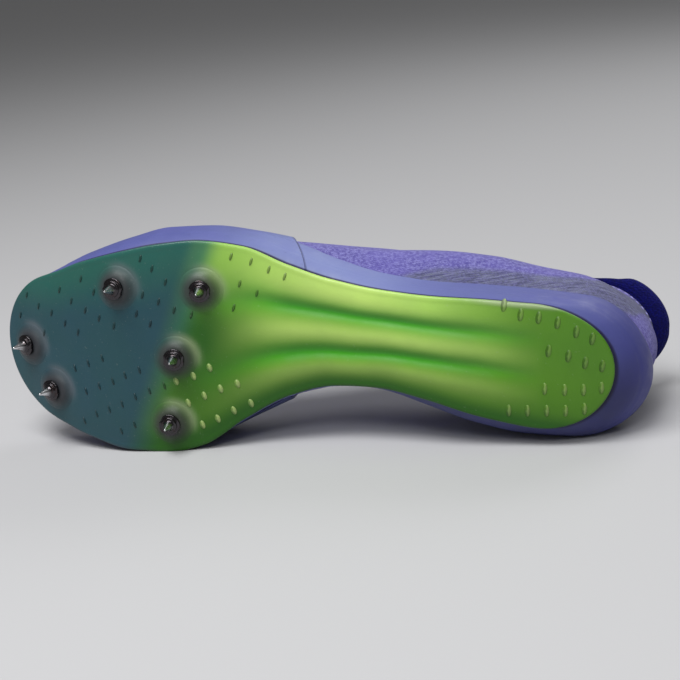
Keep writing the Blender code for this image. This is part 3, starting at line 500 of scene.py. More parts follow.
nylon = Finish("plate_nylon", 0.40, Coat_Weight=0.10, Coat_Roughness=0.25, Specular_IOR_Level=0.32)
smoke_share = nylon.mark("smoke")
# Colour of the plate: the dyes with their painted highlights and painted shade, then cloud, smoke
# and dust
dye_and_painted_light = nylon.washed(
    nylon.mark("tint", "Color"),
    (nylon.clouds(0.018, 3.0, 0.3, 0.7, 0.0, 0.10), CLOUD),
    (nylon.times(smoke_share, 0.88), SMOKE),
    (nylon.clouds(0.0011, 2.0, 0.66, 0.78, 0.0, 0.10), DUST),
)
nylon.set("Base Color", dye_and_painted_light)
rubbed = nylon.clouds(0.009, 4.0, 0.35, 0.7, 0.32, 0.46)
nylon.set("Roughness", nylon.maths("ADD", rubbed, nylon.times(smoke_share, 0.18)))
nylon.relief((nylon.noise(0.004, 3.0), 0.00010), (nylon.noise(0.0007, 2.0), 0.00002))


def moulded(name, rings, tint=None):
    """A piece of the dyed nylon."""
    x, y = rings[..., 0], rings[..., 1]
    tint = nylon_tint(x, y) if tint is None else tint
    return skin(name, rings, nylon, tint=tint, smoke=around_spikes(x, y)[0])


spine = middle_line(PLATE_LINE, share)
rim = outline(PLATE_LINE, side, share, EDGE_INSET)
rings = list(sole_rings(spine, rim, np.linspace(0.0, 1.0, PLATE_ACROSS), moulded_bottom))
for inset, lift in EDGE_ROWS:
    edge = outline(PLATE_LINE, side, share, inset)
    rings += sole_rings(spine, edge, [1.0], moulded_bottom, lift)
rings += sole_rings(spine, rim, (0.9, 0.6, 0.3, 0.0), plate_bottom, PLATE_THICKNESS)
rings = np.array(rings)

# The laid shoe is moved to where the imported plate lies
standing = rings.reshape(-1, 3) @ lie.T
plate_low, plate_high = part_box("outsole_plate")
seat = (plate_low[0], plate_high[1], plate_low[2])
lie_shift = np.array(seat) - (standing[:, 0].min(), standing[:, 1].max(), standing[:, 2].min())
plate = moulded("plate", rings)

DOME_TURNS = 40
# Dome under a spike: share of the way out, share of the height
DOME_ROWS = [
    (0.0, 1.10), (0.30, 1.10), (0.44, 1.09), (0.52, 1.03), (0.60, 0.88), (0.70, 0.58),
    (0.80, 0.28), (0.90, 0.09), (1.0, 0.0), (1.04, -0.12), (0.0, -0.2),
]


def round_turn(count):
    return np.linspace(0.0, 2 * np.pi, count, endpoint=False)


def raised(section, x0, y0, run, over, tall):
    """Rings of a low form on the underside, from its section of shares out and up."""
    found = []
    for out, height in section:
        x, y = x0 + out * run, y0 + out * over
        found.append(place_of(x, y, moulded_bottom(x, y) - height * tall))
    return np.array(found)


around = round_turn(DOME_TURNS)
run, over = BOSS_FOOT * np.cos(around), BOSS_FOOT * np.sin(around)
domes = []
for along, across in SPIKE_ROWS:
    dome = raised(DOME_ROWS, along * LENGTH, across * BALL_WIDTH, run, over, BOSS_HEIGHT)
    domes.append(moulded("dome", pressed(dome)))
domes = join("spike_domes", domes)


# Tread marks
# Short moulded blades under the forefoot and heel, leaning towards the middle, and small pale
# pips behind the medial spikes. They are one moulding with the plate.
MARK_LENGTH = 0.0035
MARK_WIDTH = 0.0013
MARK_HEIGHT = 0.00050
PIP_HEIGHT = 0.00055
MARK_TURNS = 14
PALE_MARK_AND_HIGHLIGHT = (0.36, 0.47, 0.16)
# Places of the marks in millimetres from the heel end and from the middle line
LATERAL_MARKS = [
    (254.3, 7.5), (249.8, 16.9), (243, 13), (240.5, 1.6), (235.6, 11),
    (228.4, 7.4), (221.8, 4.3), (230.6, 21.4), (224.5, 17.3), (217.5, 14.1),
    (210.8, 11.3), (203.8, 8.5), (219.1, 27.1), (212.9, 22.1), (193.3, 14.2),
    (187.4, 10.3), (190.3, 22.2), (183.4, 19.6), (176.9, 16.4), (169.9, 14.4),
    (180.1, 27.9), (185.8, 33.2), (190.8, 37.1), (131.5, 30.6), (138, 33.3),
    (145.2, 36.4), (153.2, 38.4), (143.2, 23.4), (149.9, 27.4), (152.7, 17.5),
]
MEDIAL_MARKS = [
    (224.5, -11.6), (217.5, -8.6), (210.4, -5.7), (219.4, -21), (212.6, -18),
    (205.7, -15.2), (199.8, -12.1), (193.2, -9.5), (214.8, -30.4), (208.3, -27.6),
    (201.9, -24.7), (195.6, -21.1), (189.2, -18.2), (182.5, -15.7), (221.4, -34.4),
    (203.1, -36.6), (196.7, -33.3),
]
PALE_PIPS = [
    (177.4, -13.5), (170.1, -11.2), (163.3, -7.6), (172.7, -22.7), (165.9, -19.5),
    (159.1, -16.4), (152.1, -14.2), (167.2, -32), (160.8, -29.3), (154.1, -25.7), (147, -22.6),
]
HEEL_MARKS = [
    (42.3, 23.7), (35.8, 20.4), (28.9, 19.6), (21.7, 17.9), (14.6, 14.6), (8.6, 12.0),
    (24.9, 6.8), (17.4, 5.1), (11.0, 2.6), (4.7, 1.4),
]
HEEL_PIPS = [
    (26.2, -8.2), (18.6, -8.3), (11.5, -8.1), (4.8, -7.2),
    (40, -17.8), (32.7, -17.4), (25.3, -17), (18.1, -16.6), (11, -15.6),
]
# Kinds: places, lean, share of the length and width, height, then the share of the plate's colour,
# below one as painted shade, and the paleness, the pips' own pale tone with painted highlight added
# towards the heel, on the side towards the toe and on the side towards the heel
MARK_KINDS = [
    (LATERAL_MARKS, -0.30, 1.0, 0.95, MARK_HEIGHT, (0.42, 0.0), (0.50, 0.0)),
    (MEDIAL_MARKS, 0.30, 1.0, 0.95, MARK_HEIGHT, (0.42, 0.0), (0.50, 0.0)),
    (PALE_PIPS, 0.30, 1.10, 1.8, PIP_HEIGHT, (1.0, 0.30), (1.0, 0.85)),
    (HEEL_MARKS, -0.12, 1.50, 1.9, PIP_HEIGHT, (0.50, 0.0), (1.0, 0.22)),
    (HEEL_PIPS, 0.0, 1.45, 1.7, PIP_HEIGHT, (0.75, 0.05), (1.0, 0.42)),
]
# Section of a mark: share of the way out, share of its height
MARK_SECTION = [(0.0, 1.0), (0.35, 0.93), (0.62, 0.70), (0.85, 0.34), (1.0, -0.1), (0.0, -0.3)]

around = round_turn(MARK_TURNS)
to_heel = eased(-np.cos(around), -0.4, 0.4)
marks = []
for spots, lean, longer, wider, tall, toe_side, heel_side in MARK_KINDS:
    reach = np.sin(around) * MARK_LENGTH / 2 * longer
    off = np.cos(around) * MARK_WIDTH / 2 * wider
    run = reach * np.sin(lean) + off * np.cos(lean)
    over = reach * np.cos(lean) - off * np.sin(lean)
    # Each mark is painted darker towards the toe and paler towards the heel: painted shade and
    # painted highlight of a blade lit from one side
    kept, pale = (a + (b - a) * to_heel for a, b in zip(toe_side, heel_side))
    for x, y in spots:
        blade = raised(MARK_SECTION, x / 1000, y / 1000, run, over, tall)
        # Painted shade darkens the mark, then painted highlight and the pips' pale tone are mixed
        # in
        tint = nylon_tint(blade[..., 0], blade[..., 1]) * kept[:, None]
        marks.append(moulded("mark", blade, mixed(tint, PALE_MARK_AND_HIGHLIGHT, pale)))
tread_marks = join("tread_marks", marks)

for piece in (plate, domes, tread_marks):
    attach(piece, "root")
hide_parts("outsole_plate")


# Spikes
# Six screw-in pins turned from hardened steel and plated: a flange with two wrench notches, a
# shoulder and a short cone. Each is screwed through its dome until the flange seats on it.
SHOULDER_RADIUS = 0.0033
FLANGE_STEP = 0.0005
SPIKE_TURNS = 64
NOTCH_DEPTH = 0.0004
NOTCH_ANGLE = 0.16
SLOPE_RUN = 0.004
# Painted shade and painted highlight of the one steel, and grime
STEEL_SHADE, STEEL_HIGHLIGHT = (0.065, 0.060, 0.065), (0.72, 0.72, 0.74)
GRIME = (0.055, 0.028, 0.022)
# Section from the tip to the shank: radius and height in hundredths of a millimetre
SPIKE_SECTION = [
    (0, 1000), (18, 999), (34, 988), (46, 960), (78, 850), (125, 700), (175, 560), (215, 480),
    (240, 455), (285, 450), (315, 444), (328, 430), (330, 385), (338, 374), (430, 370),
    (446, 362), (450, 348), (450, 275), (446, 262), (430, 256), (250, 253), (250, -40), (0, -40),
]

steel = Finish("spike_steel", 0.16, Metallic=1.0)
# Painted light: the cone is painted bright as a highlight and the flange and shoulder dark as
# shade, by height up the pin
lit_cone = steel.ranged(steel.mark("up_the_pin"), 0.46, 0.78)
steel_colour = steel.tinted(lit_cone, STEEL_SHADE, STEEL_HIGHLIGHT)
grime = steel.clouds(0.0016, 3.0, 0.5, 0.72, 0.0, 0.45)
steel.set("Base Color", steel.tinted(grime, steel_colour, GRIME))
fine_lines = steel.noise(0.0004, 3.0)
steel.set("Roughness", steel.ranged(fine_lines, 0.3, 0.8, 0.13, 0.34))
steel.relief((fine_lines, 0.00002))


def lathed(section, angles, axes, centre):
    """Rings of a turned form, from its section of radii and heights along the last axis."""
    for r, height in section:
        yield place_of(r * np.cos(angles), r * np.sin(angles), height) @ axes.T + centre


around = round_turn(SPIKE_TURNS)
notch = NOTCH_DEPTH * sum(bump_at(np.cos(around), way, NOTCH_ANGLE**2) for way in (-1.0, 1.0))
pin = []
for radius, height in np.array(SPIKE_SECTION) / 100000:
    on_flange = radius > SHOULDER_RADIUS + FLANGE_STEP
    pin.append((radius - on_flange * notch, height))
up_the_pin = np.repeat([[height / pin[0][1]] for radius, height in pin], SPIKE_TURNS, axis=1)
for number, (along, across) in enumerate(SPIKE_ROWS, 1):
    x, y = along * LENGTH, across * BALL_WIDTH
    slope_x = (plate_bottom(x + SLOPE_RUN, y) - plate_bottom(x - SLOPE_RUN, y)) / (2 * SLOPE_RUN)
    slope_y = (plate_bottom(x, y + SLOPE_RUN) - plate_bottom(x, y - SLOPE_RUN)) / (2 * SLOPE_RUN)
    turn = Vector((slope_x, slope_y, -1.0)).normalized().to_track_quat("Z", "X")
    centre = np.array((x, y, plate_bottom(x, y)))
    rows = list(lathed(pin, around, np.array(turn.to_matrix()), centre))
    spike = skin(f"steel_spike_{number}", rows, steel, up_the_pin=up_the_pin)
    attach(spike, "root")
    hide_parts(f"spike_{number}")


# Midsole
# One light foam moulding, cemented to the plate, that cups the foot in a soft rounded rim. Its
# side has a smooth skin with a faint parting line, and it is thickest under the heel.
FIT_GAP = 0.0003
HEEL_OVERHANG = 0.0130
TOE_SETBACK = 0.004
RIM_HEEL_ROUND = 0.026
BALL_FOAM = 0.0065
TOE_FOAM = 0.0032
RIM_HEIGHT = 0.010
FEATHER_INSET = 0.0042
FOAM = {"heel": HEEL_FOAM, "ball": BALL_FOAM, "toe": TOE_FOAM}
# Foam between plate and foot bed: share of the length, foam it follows, share of it
FOAM_ROWS = [
    (-0.05, "heel", 1.0), (0.20, "heel", 1.0), (0.36, "heel", 0.80), (0.50, "ball", 1.30),
    (0.64, "ball", 1.04), (0.76, "ball", 0.92), (0.88, "toe", 1.40), (1.00, "toe", 1.0),
]
# Rim: share of the length, width it follows, lateral, medial, then their rises in rim heights
RIM_ROWS = [
    (-0.050, "heel", 0.370, -0.620, 0.80, 0.80),
    (0.00, "heel", 0.450, -0.632, 0.74, 0.74),
    (0.06, "heel", 0.508, -0.640, 0.65, 0.68),
    (0.12, "heel", 0.543, -0.643, 0.58, 0.64),
    (0.20, "heel", 0.565, -0.582, 0.52, 0.60),
    (0.28, "waist", 0.710, -0.553, 0.46, 0.58),
    (0.36, "waist", 0.765, -0.400, 0.45, 0.60),
    (0.43, "waist", 0.870, -0.405, 0.58, 0.66),
    (0.50, "ball", 0.466, -0.236, 0.88, 0.76),
    (0.57, "ball", 0.518, -0.345, 1.05, 0.86),
    (0.64, "ball", 0.545, -0.472, 1.10, 0.92),
    (0.70, "ball", 0.538, -0.520, 1.04, 0.92),
    (0.76, "ball", 0.492, -0.518, 0.96, 0.90),
    (0.84, "ball", 0.405, -0.460, 0.86, 0.86),
    (0.92, "ball", 0.301, -0.377, 0.78, 0.78),
    (0.985, "ball", 0.261, -0.330, 0.70, 0.70),
]
FOAM_LIGHT = (0.180, 0.215, 0.430)
FOAM_DEEP = (0.036, 0.038, 0.205)
GAP_SHADE = (0.010, 0.010, 0.045)
# Tone of the foam, partly dye and partly painted light and shade with the heel end darkest: share
# of the length, how light
FOAM_TONES = [
    (-0.05, 0.05), (0.00, 0.17), (0.06, 0.30), (0.24, 0.48), (0.36, 0.85), (0.45, 1.0),
    (0.53, 0.92), (0.60, 0.52), (0.70, 0.30), (1.00, 0.25),
]
# Seam of the forefoot: place along at its foot, height of its foot, slope
SEAM_FOOT = 0.1235
SEAM_FOOT_HEIGHT = 0.010
SEAM_SLOPE = 0.53
FOAM_RIM_ROUND = 0.0011
SIDE_STEPS = 26

rim_edges = [line_of(RIM_ROWS, column, WIDTH) for column in (2, 3)]
foam_height = line_of(FOAM_ROWS, 2, FOAM)
rim_rise = [line_of(RIM_ROWS, column, RIM_HEIGHT) for column in (4, 5)]
RIM_LINE = (rim_edges, -HEEL_OVERHANG, LENGTH - TOE_SETBACK, RIM_HEEL_ROUND, PLATE_TOE_ROUND)


def bed_height(x):
    """Height of the foot bed."""
    return bottom_height(x / LENGTH) + PLATE_THICKNESS + FIT_GAP + foam_height(x / LENGTH)


def rim_height(x, side):
    return bed_height(x) + np.where(side > 0, rim_rise[0](x / LENGTH), rim_rise[1](x / LENGTH))


def bent(a, b, c, d, t):
    """Bezier curve through a and d, drawn towards b and c."""
    t = np.asarray(t)[..., None]
    s = 1 - t
    return a * s**3 + b * (3 * s * s * t) + c * (3 * s * t * t) + d * t**3


def outward(grid):
    """Outward direction at each place of a grid whose rows run round the foot, from below up."""
    along = np.roll(grid, -1, axis=1) - np.roll(grid, 1, axis=1)
    up = np.gradient(grid, axis=0)
    out = np.cross(up, along)
    return out / np.maximum(np.linalg.norm(out, axis=-1, keepdims=True), 1e-12)


foam_skin = Finish("foam_skin", 0.52, Specular_IOR_Level=0.35)
from_seam = foam_skin.maths("ABSOLUTE", foam_skin.mark("from_seam"))
in_seam = foam_skin.ranged(from_seam, 0.0001, 0.0006, 1.0, 0.0)
foam_colour = foam_skin.washed(
    foam_skin.mark("tint", "Color"),
    (foam_skin.clouds(0.012, 3.0, 0.3, 0.75, 0.0, 0.16), (0.09, 0.085, 0.34)),
    (foam_skin.clouds(0.0026, 4.0, 0.62, 0.8, 0.0, 0.22), (0.05, 0.05, 0.14)),
    (foam_skin.times(in_seam, 0.45), GAP_SHADE),
)
foam_skin.set("Base Color", foam_colour)
foam_skin.set("Roughness", foam_skin.clouds(0.006, 2.0, 0.3, 0.7, 0.44, 0.62))
grain, dents = foam_skin.noise(0.0005, 1.0), foam_skin.noise(0.007, 2.0)
foam_skin.relief((grain, 0.00003), (dents, 0.00018), (in_seam, -0.00030))

foot_ring = pressed(place_of(*outline(PLATE_LINE, side, share, 0.0002)[:, :2].T, 0.0))
foot_ring[:, 2] = plate_bottom(foot_ring[:, 0], foot_ring[:, 1]) + PLATE_THICKNESS + FIT_GAP
rim_ring = outline(RIM_LINE, side, share)
rim_ring[:, 2] = rim_height(rim_ring[:, 0], side)
rise = np.zeros_like(rim_ring)
rise[:, 2] = rim_ring[:, 2] - foot_ring[:, 2]
out = rim_ring - foot_ring
out[:, 2] = 0.0
climb = np.linspace(0.0, 1.0, SIDE_STEPS)
low_pull, high_pull = foot_ring + out * 0.65 + rise * 0.16, rim_ring - rise * 0.5
foam_side = [bent(foot_ring, low_pull, high_pull, rim_ring, np.full(len(side), t)) for t in climb]
foam_side = np.array(foam_side)
foam_out = outward(foam_side)
parting = -0.00022 * bump_at(climb, 0.47, 0.022) + 0.00018 * bump_at(climb, 0.93, 0.06)
foam_side = pressed(foam_side + foam_out * parting[:, None, None])
foam_rows = []
for t in (0.0, 0.5):
    ring = spine + (outline(PLATE_LINE, side, share, 0.0002) - spine) * t
    ring[:, 2] = plate_bottom(ring[:, 0], ring[:, 1]) + PLATE_THICKNESS + FIT_GAP
    foam_rows.append(pressed(ring))
foam_rows += list(foam_side)
top_ring = foam_side[-1]
lip_out = foam_out[-1].copy()
lip_out[:, 2] = 0.0
lip_out /= np.linalg.norm(lip_out, axis=1, keepdims=True)
up = np.array((0.0, 0.0, 1.0))
for inwards, lift in ((0.25, 0.30), (0.75, 0.42), (1.3, 0.2), (1.6, -0.6)):
    foam_rows.append(top_ring + (up * lift - lip_out * inwards) * FOAM_RIM_ROUND)
for inset, sunk in ((0.0016, 0.45), (0.0028, 0.2), (FEATHER_INSET - FIT_GAP, 0.0)):
    ring = outline(RIM_LINE, side, share, inset)
    bed = bed_height(ring[:, 0])
    ring[:, 2] = bed + sunk * (rim_height(ring[:, 0], side) - bed)
    foam_rows.append(pressed(ring))
bed_spine = middle_line(RIM_LINE, share)
for t in (0.6, 0.0):
    ring = bed_spine + (outline(RIM_LINE, side, share, FEATHER_INSET) - bed_spine) * t
    ring[:, 2] = bed_height(ring[:, 0])
    foam_rows.append(pressed(ring))
foam_rows = np.array(foam_rows)
# The foam's tone along its length is partly dye and partly painted light and shade, darkest at the
# heel end
tone = smooth_line(FOAM_TONES)(foam_rows[..., 0] / LENGTH)
# Painted highlight: the top of the rim, its rounded lip and the foot bed inside are made lighter
tone[1 + SIDE_STEPS :] += 0.10
foam_tint = mixed(FOAM_DEEP, FOAM_LIGHT, np.clip(tone, 0, 1))
# The medial side is darker towards the plate
foam_down = eased(-foam_rows[..., 2], -0.016, -0.006) * eased(-foam_rows[..., 1], -0.01, 0.01)
foam_tint = mixed(foam_tint, GAP_SHADE, 0.62 * foam_down)
foam_tint[:4] = GAP_SHADE
seam_place = SEAM_FOOT + SEAM_SLOPE * (foam_rows[..., 2] - SEAM_FOOT_HEIGHT)
seam_way = foam_rows[..., 0] - seam_place
foam = skin("foam_midsole", foam_rows, foam_skin, tint=foam_tint, from_seam=seam_way)
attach(foam, "root")
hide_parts("midsole")


# Upper
# One piece of heathered knit, heat set to shape, one wall all round the foot and open at the
# collar and the throat. A smooth film is welded along the throat for the eyelets, which are
# punched, and the quarters are knitted in a greyer, slanting yarn.
UPPER_WALL = 0.0016
HEEL_SWELL = 0.0135
COLLAR_OVERHANG = 0.0105
TOE_TOP_SETBACK = 0.018
COLLAR_HEEL_ROUND = 0.022
INSTEP_HEIGHT = 0.0725
COLLAR_HEIGHT = 0.062
VAMP_HEIGHT = 0.045
LOWER_SHARE = 0.36
RIM_LIP = 0.0015
RIM_LIP_BLEND = 0.009
FILM_THICKNESS = 0.0007
FILM_REAR = 0.552
FILM_RELIEF = 0.03
WALL_STEPS = 64
LINING_STEPS = 18
WALL_RUN = 0.078
TOP = {"collar": COLLAR_HEIGHT, "instep": INSTEP_HEIGHT, "vamp": VAMP_HEIGHT}
# Widest line: share of the length, width it follows, lateral, medial, share of the swell height
SWELL_ROWS = [
    (-0.052, "heel", 0.410, -0.430, 1.06), (0.00, "heel", 0.520, -0.540, 1.04),
    (0.06, "heel", 0.596, -0.610, 1.00), (0.12, "heel", 0.637, -0.618, 1.00),
    (0.20, "heel", 0.730, -0.570, 1.00), (0.27, "waist", 0.930, -0.585, 0.98),
    (0.36, "waist", 0.935, -0.490, 0.95), (0.43, "waist", 0.955, -0.500, 0.92),
    (0.50, "ball", 0.456, -0.268, 0.85), (0.57, "ball", 0.498, -0.362, 0.76),
    (0.64, "ball", 0.525, -0.460, 0.69), (0.70, "ball", 0.516, -0.498, 0.66),
    (0.76, "ball", 0.472, -0.494, 0.65), (0.84, "ball", 0.392, -0.443, 0.69),
    (0.92, "ball", 0.294, -0.364, 0.80), (0.985, "ball", 0.252, -0.312, 0.90),
]
# Collar, throat and vamp ridge: share of the length, lateral, medial (in ball widths), height it
# follows, share of that height, then how far the wall's upper end leans out and hangs down
TOP_ROWS = [
    (-0.040, 0.203, -0.178, "collar", 1.00, 0.00, 0.40),
    (0.00, 0.232, -0.214, "collar", 0.975, 0.05, 0.42),
    (0.06, 0.259, -0.252, "collar", 0.915, 0.10, 0.45),
    (0.13, 0.301, -0.278, "collar", 0.860, 0.15, 0.45),
    (0.20, 0.330, -0.261, "collar", 0.875, 0.22, 0.42),
    (0.27, 0.324, -0.193, "instep", 0.830, 0.35, 0.36),
    (0.33, 0.255, -0.114, "instep", 0.945, 0.42, 0.32),
    (0.37, 0.199, -0.068, "instep", 1.00, 0.45, 0.30),
    (0.44, 0.176, -0.051, "instep", 0.945, 0.48, 0.26),
    (0.52, 0.142, -0.051, "instep", 0.845, 0.50, 0.20),
    (0.59, 0.090, -0.057, "instep", 0.748, 0.54, 0.10),
    (0.635, 0.028, -0.034, "vamp", 1.12, 0.58, 0.02),
    (0.65, -0.011, -0.011, "vamp", 1.09, 0.58, 0.00),
    (0.72, -0.034, -0.034, "vamp", 1.00, 0.58, 0.00),
    (0.80, -0.060, -0.060, "vamp", 0.945, 0.58, 0.00),
    (0.87, -0.066, -0.066, "vamp", 0.925, 0.58, 0.00),
    (0.93, -0.057, -0.057, "vamp", 0.915, 0.58, 0.00),
]
# Soft troughs (and ridges, where the depth is negative): side, share of the length, level up the
# wall, slant, half width and half length in metres, depth
CREASES = [
    (1, 0.590, 0.62, 0.35, 0.0036, 0.015, 0.0011),
    (1, 0.622, 0.66, 0.30, 0.0034, 0.014, -0.0007),
    (1, 0.655, 0.64, 0.22, 0.0036, 0.017, 0.0012),
    (1, 0.700, 0.62, 0.12, 0.0040, 0.016, 0.0009),
    (1, 0.742, 0.60, -0.05, 0.0040, 0.013, 0.0006),
    (1, 0.500, 0.55, 0.55, 0.0045, 0.020, 0.0007),
    (1, 0.300, 0.60, 0.90, 0.0050, 0.022, 0.0009),
    (1, 0.210, 0.72, 1.10, 0.0045, 0.016, 0.0008),
    (1, 0.120, 0.52, 1.35, 0.0045, 0.014, -0.0006),
    (1, 0.400, 0.70, 0.70, 0.0050, 0.018, -0.0006),
    (-1, 0.590, 0.66, 0.30, 0.0036, 0.014, 0.0010),
    (-1, 0.640, 0.66, 0.20, 0.0036, 0.016, 0.0012),
    (-1, 0.690, 0.66, 0.10, 0.0038, 0.015, 0.0010),
    (-1, 0.735, 0.66, -0.05, 0.0040, 0.014, 0.0007),
    (-1, 0.450, 0.62, 0.60, 0.0050, 0.020, 0.0008),
    (-1, 0.280, 0.66, 0.90, 0.0050, 0.020, 0.0008),
    (-1, 0.180, 0.70, 1.15, 0.0045, 0.016, 0.0007),
]
KNIT_LIGHT = (0.30, 0.29, 0.66)
KNIT_DEEP = (0.105, 0.090, 0.36)
KNIT_GREY = (0.060, 0.070, 0.085)
KNIT_GREY_LIGHT = (0.205, 0.232, 0.262)
STAY_FILM = (0.20, 0.18, 0.56)
STITCH_WIDTH = 0.00125
STITCH_HEIGHT = 0.00095

swell_edges = [line_of(SWELL_ROWS, column, WIDTH) for column in (2, 3)]
swell_height = line_of(SWELL_ROWS, 4, SWELL_HEIGHT)
top_edges = [line_of(TOP_ROWS, column, BALL_WIDTH) for column in (1, 2)]
top_height = line_of(TOP_ROWS, 4, TOP, 3)
top_reach, top_drop = line_of(TOP_ROWS, 5), line_of(TOP_ROWS, 6)
swell_end = LENGTH - TOE_SETBACK - UPPER_WALL
SWELL_LINE = (swell_edges, -HEEL_SWELL, swell_end, PLATE_HEEL_ROUND, PLATE_TOE_ROUND)
TOP_LINE = (top_edges, -COLLAR_OVERHANG, LENGTH - TOE_TOP_SETBACK, COLLAR_HEEL_ROUND, 0.0)
FLAT = np.array((1.0, 1.0, 0.0))


def free_wall(side, share, level):
    """Outer face of the wall before the floor presses on it: level 0 at its foot, 1 at its top."""
    side, share, level = np.broadcast_arrays(side, share, level)
    foot = outline(RIM_LINE, side, share, FEATHER_INSET)
    foot[..., 2] = bed_height(foot[..., 0]) + FIT_GAP
    swell = outline(SWELL_LINE, side, share)
    swell[..., 2] = swell_height(swell[..., 0] / LENGTH)
    top = outline(TOP_LINE, side, share)
    along = top[..., 0] / LENGTH
    top[..., 2] = top_height(along)
    rise, out = (swell - foot) * up, (swell - foot) * FLAT
    t = np.clip(level / LOWER_SHARE, 0.0, 1.0)
    lower = bent(foot, foot + out * 0.15 + rise * 0.35, swell - rise * 0.35, swell, t)
    rise, out = (top - swell) * up, (swell - top) * FLAT
    t = np.clip((level - LOWER_SHARE) / (1 - LOWER_SHARE), 0.0, 1.0)
    near_top = top + out * top_reach(along)[..., None] - rise * top_drop(along)[..., None]
    higher = bent(swell, swell + rise * 0.55, near_top, top, t)
    return np.where((level < LOWER_SHARE)[..., None], lower, higher)


def flattened(places, side):
    """The wall where the floor presses on it, with its foot and the toe film kept clear."""
    x, z = places[..., 0], places[..., 2]
    near = np.clip(1 - (z - rim_height(x, side)) / RIM_LIP_BLEND, 0.0, 1.0)
    clearance = RIM_LIP * near * near * (3 - 2 * near)
    film_room = 3 * FIT_GAP + FILM_THICKNESS
    at_film = x > (FILM_REAR - FILM_RELIEF) * LENGTH
    clearance = np.where(at_film, np.maximum(clearance, film_room), clearance)
    return np.where((side > 0)[..., None], places, pressed(places, clearance))


def wall(side, share, level):
    side, share, level = np.broadcast_arrays(side, share, level)
    return flattened(free_wall(side, share, level), side)


def wall_out(side, share, level):
    """Outward direction of the wall."""
    near = 0.004
    low, high = np.maximum(level - near, 0.0), np.minimum(level + near, 1.0)
    before, after = np.maximum(share - near, 1e-4), np.minimum(share + near, 1 - 1e-4)
    climb = wall(side, share, high) - wall(side, share, low)
    along = wall(side, after, level) - wall(side, before, level)
    out = np.cross(climb, along) * np.asarray(side, float)[..., None]
    return out / np.linalg.norm(out, axis=-1, keepdims=True)


def level_at_height(side, share, height):
    low, high = np.zeros_like(share), np.ones_like(share)
    for _ in range(24):
        middle = (low + high) / 2
        under = wall(side, share, middle)[..., 2] < height
        low, high = np.where(under, middle, low), np.where(under, high, middle)
    return low


def lengths_along(line):
    """How far along a line, or along each line of a grid, its places are."""
    reached = np.cumsum(np.linalg.norm(np.diff(line, axis=0), axis=-1), axis=0)
    return np.concatenate([np.zeros_like(reached[:1]), reached])


def level_below(side, share, reach):
    """Level of the wall at a reach down from its upper edge."""
    levels = np.linspace(1.0, 0.0, 201)
    line = wall(np.float64(side), np.float64(share), levels)
    return float(np.interp(reach, lengths_along(line), levels))


def on_wall(side, share, reach, lift):
    """Place at a reach down from the wall's upper edge, or past it, and at a lift off its face."""
    level = level_below(side, share, max(reach, 0.0))
    side, share, level = np.float64(side), np.float64(share), np.float64(level)
    place = wall(side, share, level) + wall_out(side, share, level) * lift
    if reach < 0:
        edge = wall(side, share, np.float64(1.0)) - wall(side, share, np.float64(0.98))
        place = place - edge / np.linalg.norm(edge) * reach
    return place


# Eyelets: how many a side, share of the length of the top and front ones, inset and radius
EYELET_PAIRS = 6
EYELET_SHARES = np.linspace(0.41, 0.655, EYELET_PAIRS)
EYELET_INSET = 0.0065
EYELET_RADIUS = 0.0019
PUNCH_TURNS = 28
PUNCH_DEPTH = 0.012
STAY_WIDTH = 0.0120
STAY_ENDS = (0.378, 0.688)
STAY_THICKNESS = 0.00035
STAY_BLEND = 0.006

level = np.linspace(0.0, 1.0, WALL_STEPS)[:, None]
grid_side, grid_level = np.broadcast_arrays(side, level)
outer = free_wall(side, share, level)
run_up = lengths_along(outer)
from_top = run_up[-1] - run_up
middle_ring = outer[WALL_STEPS // 2]
run_round = lengths_along(np.append(middle_ring, middle_ring[:1], axis=0))

along = outer[..., 0] / LENGTH
stay = 1 - eased(from_top, STAY_WIDTH - 0.001, STAY_WIDTH + 0.001)
stay = stay * eased(along, STAY_ENDS[0] - STAY_BLEND, STAY_ENDS[0] + STAY_BLEND)
stay = stay * (1 - eased(along, STAY_ENDS[1] - STAY_BLEND, STAY_ENDS[1] + STAY_BLEND))
# Grey quarters: share of the length, level of their lower line and of their upper line
QUARTER_ROWS = [
    (-0.045, 1.00, 1.10), (-0.036, 0.85, 1.10), (-0.020, 0.30, 1.00), (0.000, 0.20, 0.85),
    (0.025, 0.10, 0.60), (0.050, 0.00, 0.34), (0.129, 0.00, 0.27), (0.203, 0.00, 0.225),
    (0.275, 0.00, 0.20), (0.320, 0.00, 0.15), (0.370, 0.00, 0.02),
]
quarter_foot, quarter_top = (line_of(QUARTER_ROWS, column)(along) for column in (1, 2))
quarter = 1 - eased(grid_level, quarter_top - 0.03, quarter_top + 0.02)
quarter = quarter * eased(grid_level, quarter_foot - 0.04, quarter_foot + 0.01)
quarter = quarter * eased(-along, -0.40, -0.33)

